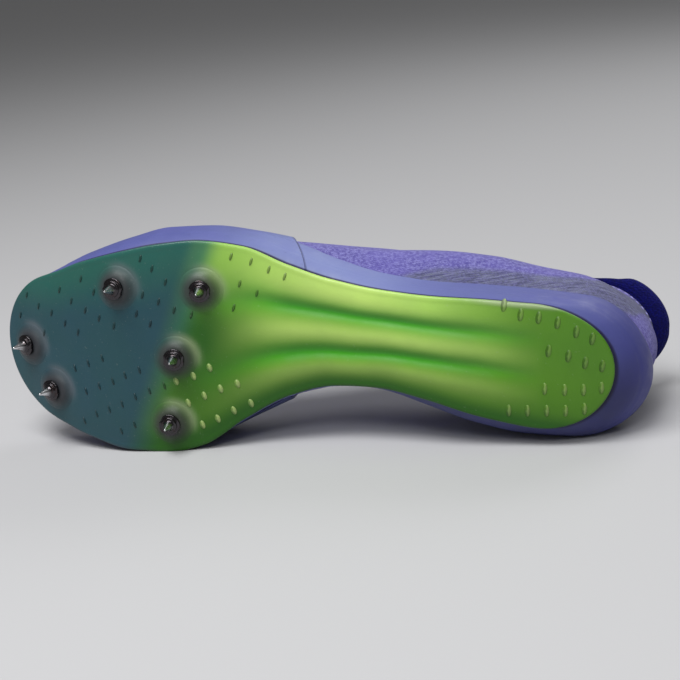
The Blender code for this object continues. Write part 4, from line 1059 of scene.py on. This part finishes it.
relief = STAY_THICKNESS * stay
for crease_side, at_share, at_level, slant, across, reach, depth in CREASES:
    run = (along - at_share) * LENGTH
    climb = (grid_level - at_level) * WALL_RUN
    over = run * np.cos(slant) + climb * np.sin(slant)
    down = climb * np.cos(slant) - run * np.sin(slant)
    fold = np.exp(-((over / across) ** 2) - (down / reach) ** 2)
    relief = relief - np.where(grid_side == crease_side, depth * fold * (1 - 0.7 * stay), 0.0)
outer = flattened(outer + outward(outer) * relief[..., None], grid_side)
out = outward(outer)
mirror = -np.arange(len(side)) % len(side)
gap = np.linalg.norm(outer[-1] - outer[-1][mirror], axis=1)
closed = (gap < 1e-5) & (share > 0.4)
ridge_out = out[-1] + out[-1][mirror]
ridge_out /= np.maximum(np.linalg.norm(ridge_out, axis=1, keepdims=True), 1e-6)
out[-1] = np.where(closed[:, None], ridge_out, out[-1])
outer[-1] = np.where(closed[:, None], (outer[-1] + outer[-1][mirror]) / 2, outer[-1])
edge_way = outer[-1] - outer[-2]
edge_way /= np.maximum(np.linalg.norm(edge_way, axis=1, keepdims=True), 1e-6)
open_share = np.where(closed, 0.0, eased(gap, 0.0, 0.003))[:, None]
open_share = np.where((share < 0.4)[:, None], 1.0, open_share)
upper_rows = list(outer)
for inwards, lift in ((0.18, 0.30), (0.5, 0.42), (0.82, 0.30)):
    bound = outer[-1] - out[-1] * inwards * UPPER_WALL
    upper_rows.append(bound + edge_way * lift * UPPER_WALL * open_share)
picked = np.linspace(WALL_STEPS - 1, 0, LINING_STEPS).round().astype(int)
upper_rows += [outer[i] - out[i] * UPPER_WALL for i in picked]
upper_rows.append(outer[0])
row_count = len(upper_rows)
lip_quads = np.zeros((row_count - 1, len(side)), bool)
lip_quads[WALL_STEPS - 1 : WALL_STEPS + 3] = closed & np.roll(closed, -1)
spread = np.zeros(row_count, int)
spread[:WALL_STEPS] = np.arange(WALL_STEPS)
spread[WALL_STEPS : WALL_STEPS + 3] = WALL_STEPS - 1
spread[WALL_STEPS + 3 : WALL_STEPS + 3 + LINING_STEPS] = picked
cloth = np.zeros((row_count, len(side) + 1, 2))
cloth[..., 0] = run_round
cloth[:, :-1, 1] = run_up[spread]
cloth[:, -1, 1] = run_up[spread, 0]


def cloth_place(finish):
    """Place on the cloth: across it and up it."""
    spot = finish.node("UVMap", {}, uv_map="cloth")
    return finish.node("SeparateXYZ", {0: spot}).node.outputs[:2]


def knit_relief(finish, width, height):
    """Height of a knit face: columns of V-shaped stitches along the cloth."""
    across, upwards = cloth_place(finish)
    column, course = finish.times(across, 1 / width), finish.times(upwards, 1 / height)
    arm = finish.times(finish.maths("PINGPONG", column, 0.5), 1.1)
    loop = finish.maths("SINE", finish.times(finish.maths("ADD", course, arm), 2 * np.pi))
    rib = finish.maths("ABSOLUTE", finish.maths("SINE", finish.times(column, 2 * np.pi)))
    return finish.times(finish.ranged(loop, -1.0, 1.0), finish.maths("POWER", rib, 0.6))


def slanted_yarn(finish, width, slope, length):
    """Streaks that run slanting over the cloth."""
    spot = finish.node("UVMap", {}, uv_map="cloth")
    turned = finish.node("VectorRotate", {"Vector": spot, "Angle": slope})
    scale = (1 / length, 1 / width, 1.0)
    stretched = finish.node("VectorMath", {0: turned, 1: scale}, operation="MULTIPLY")
    inputs = {"Vector": stretched, "Scale": 1.0, "Detail": 2.0, "Roughness": 0.6}
    return finish.node("TexNoise", inputs, "Fac")


knit = Finish(
    "heather_knit", 0.82, Sheen_Weight=0.10, Sheen_Roughness=0.5, Specular_IOR_Level=0.25
)
loops = knit_relief(knit, STITCH_WIDTH, STITCH_HEIGHT)
flecks = knit.ranged(knit.noise(0.0012, 3.0, 0.7), 0.36, 0.66)
streaks = knit.ranged(slanted_yarn(knit, 0.0011, 0.42, 0.010), 0.35, 0.68)
grey_yarn = knit.tinted(streaks, KNIT_GREY, KNIT_GREY_LIGHT)
grey_yarn = knit.tinted(knit.times(flecks, 0.3), grey_yarn, KNIT_LIGHT)
stay_share = knit.mark("stay")
knit_colour = knit.washed(
    knit.tinted(flecks, KNIT_DEEP, KNIT_LIGHT),
    (knit.clouds(0.010, 3.0, 0.3, 0.7, 0.0, 0.35), (0.20, 0.17, 0.60)),
    (knit.times(knit.mark("quarter"), 0.86), grey_yarn),
    # Painted shade: the knit is darker between its loops, in the hollows of the stitches
    (knit.ranged(loops, 0.0, 0.8, 0.42, 0.0), (0.05, 0.04, 0.20)),
    (stay_share, knit.tinted(knit.clouds(0.008, 2.0, 0.3, 0.7), STAY_FILM, (0.24, 0.21, 0.66))),
)
knit.set("Base Color", knit_colour)
knit.set("Roughness", knit.ranged(stay_share, 0.0, 1.0, 0.84, 0.42))
bare = knit.maths("SUBTRACT", 1.0, stay_share)
faces, fuzz = knit.times(loops, bare), knit.noise(0.0006, 2.0)
knit.relief((faces, 0.00026), (knit.times(flecks, bare), 0.00010), (fuzz, 0.00003))

upper_marks = {"stay": stay[spread], "quarter": quarter[spread]}
upper = skin("knit_upper", upper_rows, knit, skip=lip_quads, cloth=cloth, **upper_marks)
eyelet_spots = []
punches = bmesh.new()
for eyelet_side in (1, -1):
    for eyelet_share in EYELET_SHARES:
        face = on_wall(eyelet_side, eyelet_share, EYELET_INSET, 0.0)
        above = on_wall(eyelet_side, eyelet_share, EYELET_INSET, 0.01)
        way = Vector(lie @ (above - face)).normalized()
        centre = Vector(lie @ face + lie_shift)
        eyelet_spots.append((centre, way))
        turn = way.to_track_quat("Z", "X").to_matrix().to_4x4()
        size = {"radius1": EYELET_RADIUS, "radius2": EYELET_RADIUS, "depth": PUNCH_DEPTH}
        spot = Matrix.Translation(centre) @ turn
        bmesh.ops.create_cone(punches, cap_ends=True, segments=PUNCH_TURNS, matrix=spot, **size)
punch_mesh = bpy.data.meshes.new("punches")
punches.to_mesh(punch_mesh)
punches.free()
punch_mesh.materials.append(knit.material)
punch = placed("punches", punch_mesh)
punching = upper.modifiers.new("punching", "BOOLEAN")
punching.operation = "DIFFERENCE"
punching.object = punch
punching.solver = "EXACT"
bpy.context.view_layer.update()
punched = upper.evaluated_get(bpy.context.evaluated_depsgraph_get())
punched_mesh = bpy.data.meshes.new_from_object(punched)
upper.modifiers.clear()
upper.data = punched_mesh
bpy.data.objects.remove(punch)
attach(upper, "root")
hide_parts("upper")

RING_TURNS = 36
# Welded ring round each eyelet: radius, height off the film
RING_SECTION = [
    (0.00188, -0.0006), (0.00188, 0.00062), (0.00200, 0.00080), (0.00225, 0.00088),
    (0.00262, 0.00084), (0.00290, 0.00066), (0.00302, 0.00036), (0.00302, -0.0002),
    (0.00188, -0.0006),
]
ring_film = Finish("eyelet_ring_film", 0.38)
ring_tone = ring_film.clouds(0.0015, 2.0, 0.3, 0.7)
ring_film.set("Base Color", ring_film.tinted(ring_tone, (0.055, 0.05, 0.24), (0.10, 0.09, 0.34)))
ring_film.relief((ring_film.noise(0.0005, 1.0), 0.00002))
around = round_turn(RING_TURNS)
eyelet_rings = []
for centre, way in eyelet_spots:
    axes = np.array(way.to_track_quat("Z", "X").to_matrix())
    laid = lathed(RING_SECTION, around, axes, np.array(centre))
    eyelet_rings.append(skin("eyelet_ring", [(r - lie_shift) @ lie for r in laid], ring_film))
eyelet_rings = join("eyelet_rings", eyelet_rings)
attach(eyelet_rings, "root")


# Toe film
# A thin smooth film welded over the foot of the forefoot wall, from a seam on the lateral side
# round the toe to one on the medial side. It keeps the knit from wearing through.
FILM_HEIGHT = 0.011
FILM_ROOM = 0.45
FILM_CLOUD = (0.14, 0.15, 0.50)
FILM_END_RUN = 0.10
# Section of the film: share of its height, lift off the knit in metres
FILM_OUTSIDE = [
    (0.0, 0.00040), (0.03, 0.00085), (0.12, 0.00105), (0.35, 0.00108), (0.60, 0.00106),
    (0.80, 0.00102), (0.92, 0.00094), (0.98, 0.00074), (1.0, 0.00045),
]
FILM_INSIDE = [(0.95, 0.00020), (0.5, 0.00020), (0.05, 0.00020)]


def capped(rows):
    """Rows with a closing point at each end."""
    ends = [np.repeat(rows[i].mean(axis=0)[None], rows.shape[1], axis=0) for i in (0, -1)]
    return np.concatenate([ends[0][None], rows, ends[1][None]])


film_columns = np.flatnonzero(share > FILM_REAR)
film_side, film_share = side[film_columns], share[film_columns]
film_x = outline(RIM_LINE, film_side, film_share)[:, 0]
film_foot = rim_height(film_x, film_side) + 3 * FIT_GAP
film_top = wall(film_side, film_share, 1.0)[:, 2]
film_height = np.minimum(FILM_HEIGHT, FILM_ROOM * (film_top - film_foot))
# The lateral end runs on from the slanting seam of the foam
near_end = np.where(film_side > 0, 1 - eased(film_share, FILM_REAR, FILM_REAR + FILM_END_RUN), 0.0)
end_places = outline(RIM_LINE, np.ones(1), np.full(1, FILM_REAR))[:, 0]
film_rows = []
for height, lift in FILM_OUTSIDE + FILM_INSIDE:
    end_place = SEAM_FOOT + SEAM_SLOPE * (film_foot + film_height * height - SEAM_FOOT_HEIGHT)
    slid = film_share + near_end * (end_place - end_places) / LENGTH
    film_level = level_at_height(film_side, slid, film_foot + film_height * height)
    line = wall(film_side, slid, film_level)
    film_rows.append(line + wall_out(film_side, slid, film_level) * lift)
film_rows = capped(np.array(film_rows).transpose(1, 0, 2))

smooth_film = Finish(
    "smooth_film", 0.42, Coat_Weight=0.08, Coat_Roughness=0.35, Specular_IOR_Level=0.35
)
film_colour = smooth_film.washed(
    smooth_film.mark("tint", "Color"),
    (smooth_film.clouds(0.020, 3.0, 0.3, 0.7, 0.0, 0.25), FILM_CLOUD),
    (smooth_film.clouds(0.0022, 4.0, 0.64, 0.80, 0.0, 0.22), (0.08, 0.07, 0.25)),
)
smooth_film.set("Base Color", film_colour)
smooth_film.set("Roughness", smooth_film.clouds(0.005, 2.0, 0.3, 0.7, 0.34, 0.52))
grain, ripples = smooth_film.noise(0.0007, 2.0), smooth_film.noise(0.006, 2.0)
smooth_film.relief((grain, 0.00004), (ripples, 0.00020))
# The film takes the foam's tones along the length, which are partly painted light and shade, and
# painted shade on the medial side
film_tone = smooth_line(FOAM_TONES)(film_rows[..., 0] / LENGTH)
film_tint = mixed(FOAM_DEEP, FOAM_LIGHT, film_tone)
film_tint = mixed(film_tint, GAP_SHADE, 0.62 * eased(-film_rows[..., 1], -0.01, 0.01))
toe_film = skin("toe_film", film_rows, smooth_film, tint=film_tint)
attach(toe_film, "root")
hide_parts("toe_rand")


# Insole
# A thin foam sock liner with a brushed navy cover, die cut and laid on the foot bed, its edge
# turned up a little against the wall.
INSOLE_INSET = FEATHER_INSET + UPPER_WALL + 2 * FIT_GAP + 0.0012
INSOLE_THICKNESS = 0.003

cover = Finish("brushed_cover", 0.9, Sheen_Weight=0.3, Sheen_Roughness=0.4)
nap = cover.noise(0.0006, 3.0)
cover_colour = cover.tinted(cover.ranged(nap, 0.3, 0.7), (0.012, 0.012, 0.06), (0.04, 0.04, 0.16))
print_of_foot = cover.clouds(0.03, 2.0, 0.45, 0.7, 0.0, 0.4)
cover.set("Base Color", cover.tinted(print_of_foot, cover_colour, (0.07, 0.07, 0.14)))
cover.relief((nap, 0.00012))

liner_spine = middle_line(RIM_LINE, share)
liner_edge = outline(RIM_LINE, side, share, INSOLE_INSET)
liner_rows = []
for t in (0.0, 0.6, 1.0):
    ring = liner_spine + (liner_edge - liner_spine) * t
    ring[:, 2] = bed_height(ring[:, 0]) + FIT_GAP
    liner_rows.append(pressed(ring))
for t in (1.0, 0.99, 0.96, 0.9, 0.8, 0.66, 0.5, 0.33, 0.16, 0.0):
    ring = liner_spine + (liner_edge - liner_spine) * t
    thick = INSOLE_THICKNESS * (1 + 0.35 * t**4) * (0.8 if t == 1.0 else 1.0)
    ring[:, 2] = bed_height(ring[:, 0]) + FIT_GAP + thick
    liner_rows.append(pressed(ring))
liner = skin("sock_liner", np.array(liner_rows)[:, ::2], cover)
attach(liner, "root")
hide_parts("insole")


# Tongue
# A thin padded tongue in the same knit with a smooth bound edge, sewn in under the vamp and free
# above the top eyelets. It lies under both sides of the throat and crowns between them.
TONGUE_THICKNESS = 0.0026
TONGUE_FRONT = 0.735
TONGUE_BACK = 0.405
TONGUE_FREE = 0.024
TONGUE_SINK = 0.0016
TONGUE_CROWN = 0.0008
LACE_ROOM = 0.0011
TONGUE_TUCK = [0.007, 0.0035, 0.0005]
TONGUE_LENGTHS = 44
TONGUE_WIDTHS = 26
TONGUE_STITCH = (0.0017, 0.0021)
# Free end: share of the free length, share of the width left
TONGUE_END = [(0.0, 1.0), (0.33, 0.93), (0.66, 0.88), (0.85, 0.80), (0.95, 0.68), (1.0, 0.50)]
TONGUE_LEAN = np.array((-0.92, 0.0, 0.38))


def rounded_line(points, count, shut=False):
    """Smooth line through points, as count places along it."""
    points = np.asarray(points, float)
    spans = len(points) if shut else len(points) - 1
    found = []
    for t in np.linspace(0.0, spans, count, endpoint=not shut):
        i = min(int(t), spans - 1)
        t = t - i
        if shut:
            a, b, c, d = (points[(i + j) % len(points)] for j in (-1, 0, 1, 2))
        else:
            a, b, c, d = (points[min(max(i + j, 0), spans)] for j in (-1, 0, 1, 2))
        bend = (-a + c) * t + (2 * a - 5 * b + 4 * c - d) * t**2 + (-a + 3 * b - 3 * c + d) * t**3
        found.append(b + bend / 2)
    return np.array(found)


def tongue_line(along):
    """Outer face of the tongue across the throat."""
    buried = np.clip((along - EYELET_SHARES[-1]) / (TONGUE_FRONT - EYELET_SHARES[-1]), 0.0, 1.0)
    depth = UPPER_WALL + 2 * FIT_GAP + TONGUE_SINK * buried + LACE_ROOM * (1 - buried)
    lateral = [on_wall(1, along, reach, -depth) for reach in TONGUE_TUCK]
    medial = [on_wall(-1, along, reach, -depth) for reach in reversed(TONGUE_TUCK)]
    crown = up * TONGUE_CROWN * (1 - buried)
    over = medial[0] - lateral[-1]
    bridge = [lateral[-1] + over * t + crown * 4 * t * (1 - t) for t in (0.3, 0.7)]
    return rounded_line(lateral + bridge + medial, TONGUE_WIDTHS)


tongue_face = [tongue_line(a) for a in np.linspace(TONGUE_FRONT, TONGUE_BACK, TONGUE_LENGTHS)]
last_line = tongue_face[-1]
narrowing = smooth_line(TONGUE_END)
for t in (0.15, 0.3, 0.45, 0.6, 0.72, 0.82, 0.9, 0.95, 0.98, 1.0):
    middle = last_line.mean(axis=0)
    narrowed = middle + (last_line - middle) * narrowing(t)
    tongue_face.append(narrowed + TONGUE_LEAN * t * TONGUE_FREE)
tongue_face = np.array(tongue_face)
along_way = np.gradient(tongue_face, axis=0)
across_way = np.gradient(tongue_face, axis=1)
inward = np.cross(along_way, across_way)
inward /= np.linalg.norm(inward, axis=-1, keepdims=True)
inward *= -np.sign((inward * up).sum(axis=-1, keepdims=True))
width_share = np.linspace(-1.0, 1.0, TONGUE_WIDTHS)
length_share = np.linspace(0.0, 1.0, len(tongue_face))[:, None]
plump = np.sqrt(np.clip(1 - np.abs(width_share) ** 6, 0.0, 1.0))
plump = plump * (1 - bump_at(length_share, 1.0, 0.02) * 0.7)
quilt = 0.00025 * (bump_at(width_share, -0.4, 0.05) + bump_at(width_share, 0.4, 0.05))
swelling = TONGUE_THICKNESS * 0.5 * plump
binding = 0.00035 * bump_at(np.abs(width_share), 0.90, 0.05)
middle_face = tongue_face + inward * TONGUE_THICKNESS * 0.5
top_face = middle_face - inward * (swelling - quilt + binding)[..., None]
under_face = middle_face + inward * (swelling + binding)[..., None]
tongue_rows = capped(np.concatenate([top_face, under_face[:, ::-1]], axis=1))
tongue_cloth = np.zeros((*tongue_rows.shape[:2], 2))
tongue_cloth[..., 0] = np.arange(tongue_rows.shape[1]) * TONGUE_STITCH[0]
tongue_cloth[..., 1] = np.arange(tongue_rows.shape[0])[:, None] * TONGUE_STITCH[1]
shut = tongue_cloth[:, -1:] + (TONGUE_STITCH[0], 0.0)
tongue_cloth = np.concatenate([tongue_cloth, shut], axis=1)
bound = bump_at(np.abs(width_share), 0.97, 0.07) + 0 * length_share
bound = np.maximum(bound, bump_at(length_share, 1.0, 0.04))
bound = np.concatenate([bound, bound[:, ::-1]], axis=1)
bound = np.concatenate([bound[:1], bound, bound[-1:]])
tongue_marks = {"stay": np.clip(bound, 0, 1), "quarter": np.zeros_like(bound)}
tongue = skin("padded_tongue", tongue_rows, knit, cloth=tongue_cloth, **tongue_marks)
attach(tongue, "root")
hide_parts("tongue")


# Collar
# Foam under a navy brushed knit, sewn along the top line, that lines the heel and rises behind
# it in a flared tab. The lining runs down inside and its edge is turned under.
COLLAR_FRONT = 0.30
COLLAR_TAPER = 0.08
COLLAR_END_LIFT = 0.0012
LINING_THICKNESS = 0.0028
LINING_ROWS = 3
LINING_LEVEL = 9
LIP_RISE = 0.013
LIP_FLARE = 0.0062
LIP_THICKNESS = 0.0052
COLLAR_HALF_ROUND = 160
SECTION_PLACES = 52
SECTION_STEP = 0.0011
COLLAR_LIGHT = (0.0035, 0.004, 0.135)
COLLAR_DEEP = (0.0012, 0.0012, 0.045)
# Lip: share of the length, share of its full rise and flare on the lateral and medial side
LIP_ROWS = [
    (0.000, 1.00, 1.00), (0.015, 0.97, 0.88), (0.030, 0.91, 0.66), (0.045, 0.80, 0.48),
    (0.065, 0.44, 0.34), (0.100, 0.25, 0.24), (0.160, 0.19, 0.18), (0.340, 0.17, 0.17),
]
lip_weights = [line_of(LIP_ROWS, column) for column in (1, 2)]

collar_side, collar_share = round_the_foot(COLLAR_HALF_ROUND)
turn_round = np.roll(np.arange(2 * COLLAR_HALF_ROUND), COLLAR_HALF_ROUND)
collar_columns = [k for k in turn_round if collar_share[k] < COLLAR_FRONT]
collar_rows = []
for k in collar_columns:
    s, a = collar_side[k], collar_share[k]
    top = wall(s, a, np.float64(1.0))
    off = wall_out(s, a, np.float64(1.0))
    rise = top - wall(s, a, np.float64(0.98))
    rise /= np.linalg.norm(rise)
    weight = lip_weights[0 if s > 0 else 1](a)
    lift, flare = LIP_RISE * weight, LIP_FLARE * weight
    tip = min(max((COLLAR_FRONT - a) / COLLAR_TAPER, 0.0), 1.0)
    inside = UPPER_WALL + FIT_GAP * (4 - 2 * tip)
    pad = LINING_THICKNESS * (0.55 + 0.45 * weight)
    section = []
    for down in range(LINING_ROWS, 0, -1):
        at = np.float64(1 - down / LINING_LEVEL)
        section.append(wall(s, a, at) - wall_out(s, a, at) * inside)
    lip = [
        (-inside, -0.001),
        (-inside + 0.0002, FIT_GAP + 0.0003),
        (flare * 0.25, FIT_GAP + 0.0006),
        (flare * 0.8 + 0.0006 * weight, lift * 0.42),
        (flare * 0.98, lift * 0.8),
        (flare * 0.70 - 0.0004, lift),
        (flare * 0.35 - 0.5 * LIP_THICKNESS * weight - 0.0012, lift * 0.93),
        (-inside - pad * 0.8, lift * 0.4),
    ]
    for over, higher in lip:
        place = top + off * min(over, flare) + rise * (higher + 2 * COLLAR_END_LIFT * (1 - tip))
        section.append(place)
    section.append(top - off * (inside + pad))
    for down in range(1, LINING_ROWS + 1):
        at = np.float64(1 - down / LINING_LEVEL)
        thick = inside + pad * (1.0 if down < LINING_ROWS else 0.45)
        section.append(wall(s, a, at) - wall_out(s, a, at) * thick)
    tuck = np.array((-2.0, -0.7 * s, 0.0)) * COLLAR_END_LIFT * (1 - tip)
    collar_rows.append(rounded_line(section, SECTION_PLACES, shut=True) + tuck)
collar_rows = capped(np.array(collar_rows))
round_lengths = np.linalg.norm(np.diff(collar_rows, axis=0), axis=2).mean(axis=1)
collar_cloth = np.zeros((len(collar_rows), SECTION_PLACES + 1, 2))
collar_cloth[..., 0] = np.concatenate([[0.0], np.cumsum(round_lengths)])[:, None]
collar_cloth[..., 1] = np.arange(SECTION_PLACES + 1) * SECTION_STEP

navy = Finish("brushed_navy", 0.86, Sheen_Weight=0.10, Sheen_Roughness=0.45)
navy.shader.inputs["Sheen Tint"].default_value = (0.10, 0.12, 1.0, 1.0)
navy.shader.inputs["Specular IOR Level"].default_value = 0.12
navy_loops = knit_relief(navy, 0.0016, 0.0012)
navy_nap = navy.noise(0.0009, 3.0)
navy_colour = navy.tinted(navy.ranged(navy_nap, 0.3, 0.7), COLLAR_DEEP, COLLAR_LIGHT)
# Painted shade: the navy knit is darker between its loops, in the hollows of the stitches
shade_between_loops = navy.ranged(navy_loops, 0.0, 0.8, 0.45, 0.0)
navy.set("Base Color", navy.tinted(shade_between_loops, navy_colour, (0.002, 0.002, 0.05)))
navy.relief((navy_loops, 0.00022), (navy_nap, 0.00010), (navy.noise(0.006, 2.0), 0.0005))
collar = skin("padded_collar", collar_rows, navy, cloth=collar_cloth)
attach(collar, "root")
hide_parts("collar")


# Laces
# One flat woven lace. It lies across the front pair of eyelets, and its two halves cross over
# the tongue from pair to pair, over one edge of the throat and under the other, up through each
# eyelet. Both ends stop inside the top pair.
LACE_WIDTH = 0.0036
LACE_THICKNESS = 0.0011
LACE_SQUEEZE = 0.0027
LACE_CROSSING = 0.0007
LACE_LIGHT = (0.42, 0.38, 0.80)
LACE_DEEP = (0.20, 0.16, 0.52)
LACE_STEPS = 9
HERRING = 0.0009
LACE_WALE = 0.00058
# Section of the lace: across and up, in halves of its width and thickness
LACE_SECTION = [
    (1.0, 0.0), (0.92, 0.62), (0.70, 0.95), (0.25, 1.0), (-0.25, 1.0), (-0.70, 0.95), (-0.92, 0.62),
    (-1.0, 0.0), (-0.92, -0.62), (-0.70, -0.95), (-0.25, -1.0), (0.25, -1.0), (0.70, -0.95),
    (0.92, -0.62),
]

woven = Finish("woven_lace", 0.78, Sheen_Weight=0.2, Sheen_Roughness=0.5)
across, lengthways = cloth_place(woven)
herring = woven.maths("ADD", lengthways, woven.maths("PINGPONG", across, HERRING))
herring = woven.maths("SINE", woven.times(herring, 2 * np.pi / HERRING))
herring = woven.ranged(herring, -1.0, 1.0)
woven.set("Base Color", woven.tinted(herring, LACE_DEEP, LACE_LIGHT))
woven.relief((herring, 0.00018), (woven.noise(0.0004, 2.0), 0.00005))


def lace_piece(name, path, widths):
    """Flat woven lace along a path, its width lying along the throat."""
    path = np.asarray(path)
    onward = np.gradient(path, axis=0)
    onward /= np.linalg.norm(onward, axis=1, keepdims=True)
    throat_way = wall(1.0, 0.40, 1.0) - wall(1.0, 0.62, 1.0)
    flat_way = throat_way - onward * (onward @ throat_way)[:, None]
    flat_way /= np.linalg.norm(flat_way, axis=1, keepdims=True)
    thick_way = np.cross(flat_way, onward)
    across, raised = np.array(LACE_SECTION).T[..., None]
    rows = []
    for place, flat, thick, width in zip(path, flat_way, thick_way, widths):
        rows.append(place + across * flat * width / 2 + raised * thick * LACE_THICKNESS / 2)
    spots = np.zeros((len(rows) + 2, len(LACE_SECTION) + 1, 2))
    spots[..., 0] = np.arange(len(LACE_SECTION) + 1) * LACE_WALE
    spots[1:-1, :, 1] = lengths_along(path)[:, None]
    spots[-1] = spots[-2]
    return skin(name, capped(np.array(rows)), woven, cloth=spots)


def crossing(start_side, start, end, over):
    """Way of a lace from one eyelet, over its edge and under the far one, to the next eyelet."""
    far = -start_side
    middle_share = (start + end) / 2
    near_share = start + (end - start) * 0.25
    far_share = start + (end - start) * 0.78
    near_edge = on_wall(start_side, near_share, -0.0006, 0.0011)
    far_edge = on_wall(far, far_share, -0.0012, -0.0009)
    between = (on_wall(1, middle_share, 0.0, 0.0) + on_wall(-1, middle_share, 0.0, 0.0)) / 2
    under = -UPPER_WALL - 0.0009
    return [
        (on_wall(start_side, start, EYELET_INSET, -0.0032), LACE_SQUEEZE),
        (on_wall(start_side, start, EYELET_INSET + 0.0003, 0.0006), LACE_SQUEEZE),
        (on_wall(start_side, start, EYELET_INSET - 0.0015, 0.0017), LACE_SQUEEZE + 0.0005),
        (on_wall(start_side, start + (end - start) * 0.1, EYELET_INSET * 0.45, 0.0015), LACE_WIDTH),
        (near_edge, LACE_WIDTH),
        (between + up * (0.0002 + over * LACE_CROSSING), LACE_WIDTH),
        (far_edge, LACE_WIDTH),
        (on_wall(far, end + (start - end) * 0.1, EYELET_INSET * 0.45, under), LACE_WIDTH),
        (on_wall(far, end, EYELET_INSET - 0.0010, under), LACE_SQUEEZE + 0.0004),
    ]


def smoothed_lace(name, knots):
    places = np.array([np.append(place, width) for place, width in knots])
    line = rounded_line(places, (len(knots) - 1) * LACE_STEPS + 1)
    return lace_piece(name, line[:, :3], line[:, 3])


front, top_pair = EYELET_SHARES[-1], EYELET_SHARES[0]
laces = []
for first in (1, -1):
    knots = []
    lace_side = first
    for k in range(EYELET_PAIRS - 1, 0, -1):
        over = 1 if (first > 0) == (k % 2 == 0) else -1
        knots += crossing(lace_side, EYELET_SHARES[k], EYELET_SHARES[k - 1], over)
        lace_side = -lace_side
    knots.append((on_wall(lace_side, top_pair, EYELET_INSET, 0.0008), LACE_SQUEEZE))
    knots.append((on_wall(lace_side, top_pair, EYELET_INSET + 0.0016, 0.0014), LACE_SQUEEZE))
    laces.append(smoothed_lace("lace_half", knots))
bar_knots = []
for bar_side, order in ((1, 1), (-1, -1)):
    half_bar = [
        (on_wall(bar_side, front, EYELET_INSET, -0.0034), LACE_SQUEEZE),
        (on_wall(bar_side, front, EYELET_INSET, 0.0004), LACE_SQUEEZE),
        (on_wall(bar_side, front, EYELET_INSET - 0.0018, 0.0028), LACE_WIDTH),
        (on_wall(bar_side, front, 0.001, 0.0030), LACE_WIDTH),
    ]
    bar_knots += half_bar[::order]
laces.append(smoothed_lace("lace_bar", bar_knots))
lace = join("woven_laces", laces)
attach(lace, "root")
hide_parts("lace")


# Thread
# Rows of short lockstitches in violet thread along the eyelet film and under the collar seam.
THREAD_RADIUS = 0.00026
THREAD_STITCH = 0.0021
THREAD_GAP = 0.0009
STITCH_PLACES = (0.0, 0.04, 0.25, 0.5, 0.75, 0.96, 1.0)
STITCH_SIZES = (0.05, 0.7, 1.0, 1.0, 1.0, 0.7, 0.05)
STITCH_RISES = (-0.9, -0.4, 0.3, 0.5, 0.3, -0.4, -0.9)
# Rows on each side: from and to share of the length, places, reach from the top, lift off the knit
SEAMS = [
    (STAY_ENDS[0] + 0.006, STAY_ENDS[1] - 0.012, 60, STAY_WIDTH - 0.0022, STAY_THICKNESS),
    (0.004, COLLAR_FRONT + 0.02, 90, 0.0026, 0.0),
]

thread = Finish("violet_thread", 0.6, Sheen_Weight=0.2, Sheen_Roughness=0.4)
twist = thread.noise(0.0004, 2.0)
thread.set("Base Color", thread.tinted(twist, (0.24, 0.21, 0.62), (0.42, 0.40, 0.82)))
thread.relief((twist, 0.00005))


def stitch_row(line, lift_way):
    """Stitches along a line of places, each a short rounded length of thread."""
    run = lengths_along(line)
    angles = round_turn(6)
    at = 0.0
    while at + THREAD_STITCH < run[-1]:
        spots = at + THREAD_STITCH * np.array(STITCH_PLACES)
        at += THREAD_STITCH + THREAD_GAP
        centre = np.stack([np.interp(spots, run, line[:, i]) for i in range(3)], -1)
        lifts = np.stack([np.interp(spots, run, lift_way[:, i]) for i in range(3)], -1)
        onward = centre[-1] - centre[0]
        onward /= np.linalg.norm(onward)
        rows = []
        for place, lift, size, rise in zip(centre, lifts, STITCH_SIZES, STITCH_RISES):
            sideways = np.cross(onward, lift)
            ring = np.cos(angles)[:, None] * sideways + np.sin(angles)[:, None] * lift
            rows.append(place + lift * rise * THREAD_RADIUS + ring * THREAD_RADIUS * size)
        yield skin("stitch", rows, thread)


stitches = []
for seam_side in (1, -1):
    for start, end, count, reach, lift in SEAMS:
        shares_along = np.linspace(start, end, count)
        face = np.array([on_wall(seam_side, a, reach, lift) for a in shares_along])
        above = np.array([on_wall(seam_side, a, reach, lift + 0.001) for a in shares_along])
        stitches += list(stitch_row(face, (above - face) / 0.001))
seams = join("seam_stitches", stitches)
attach(seams, "root")
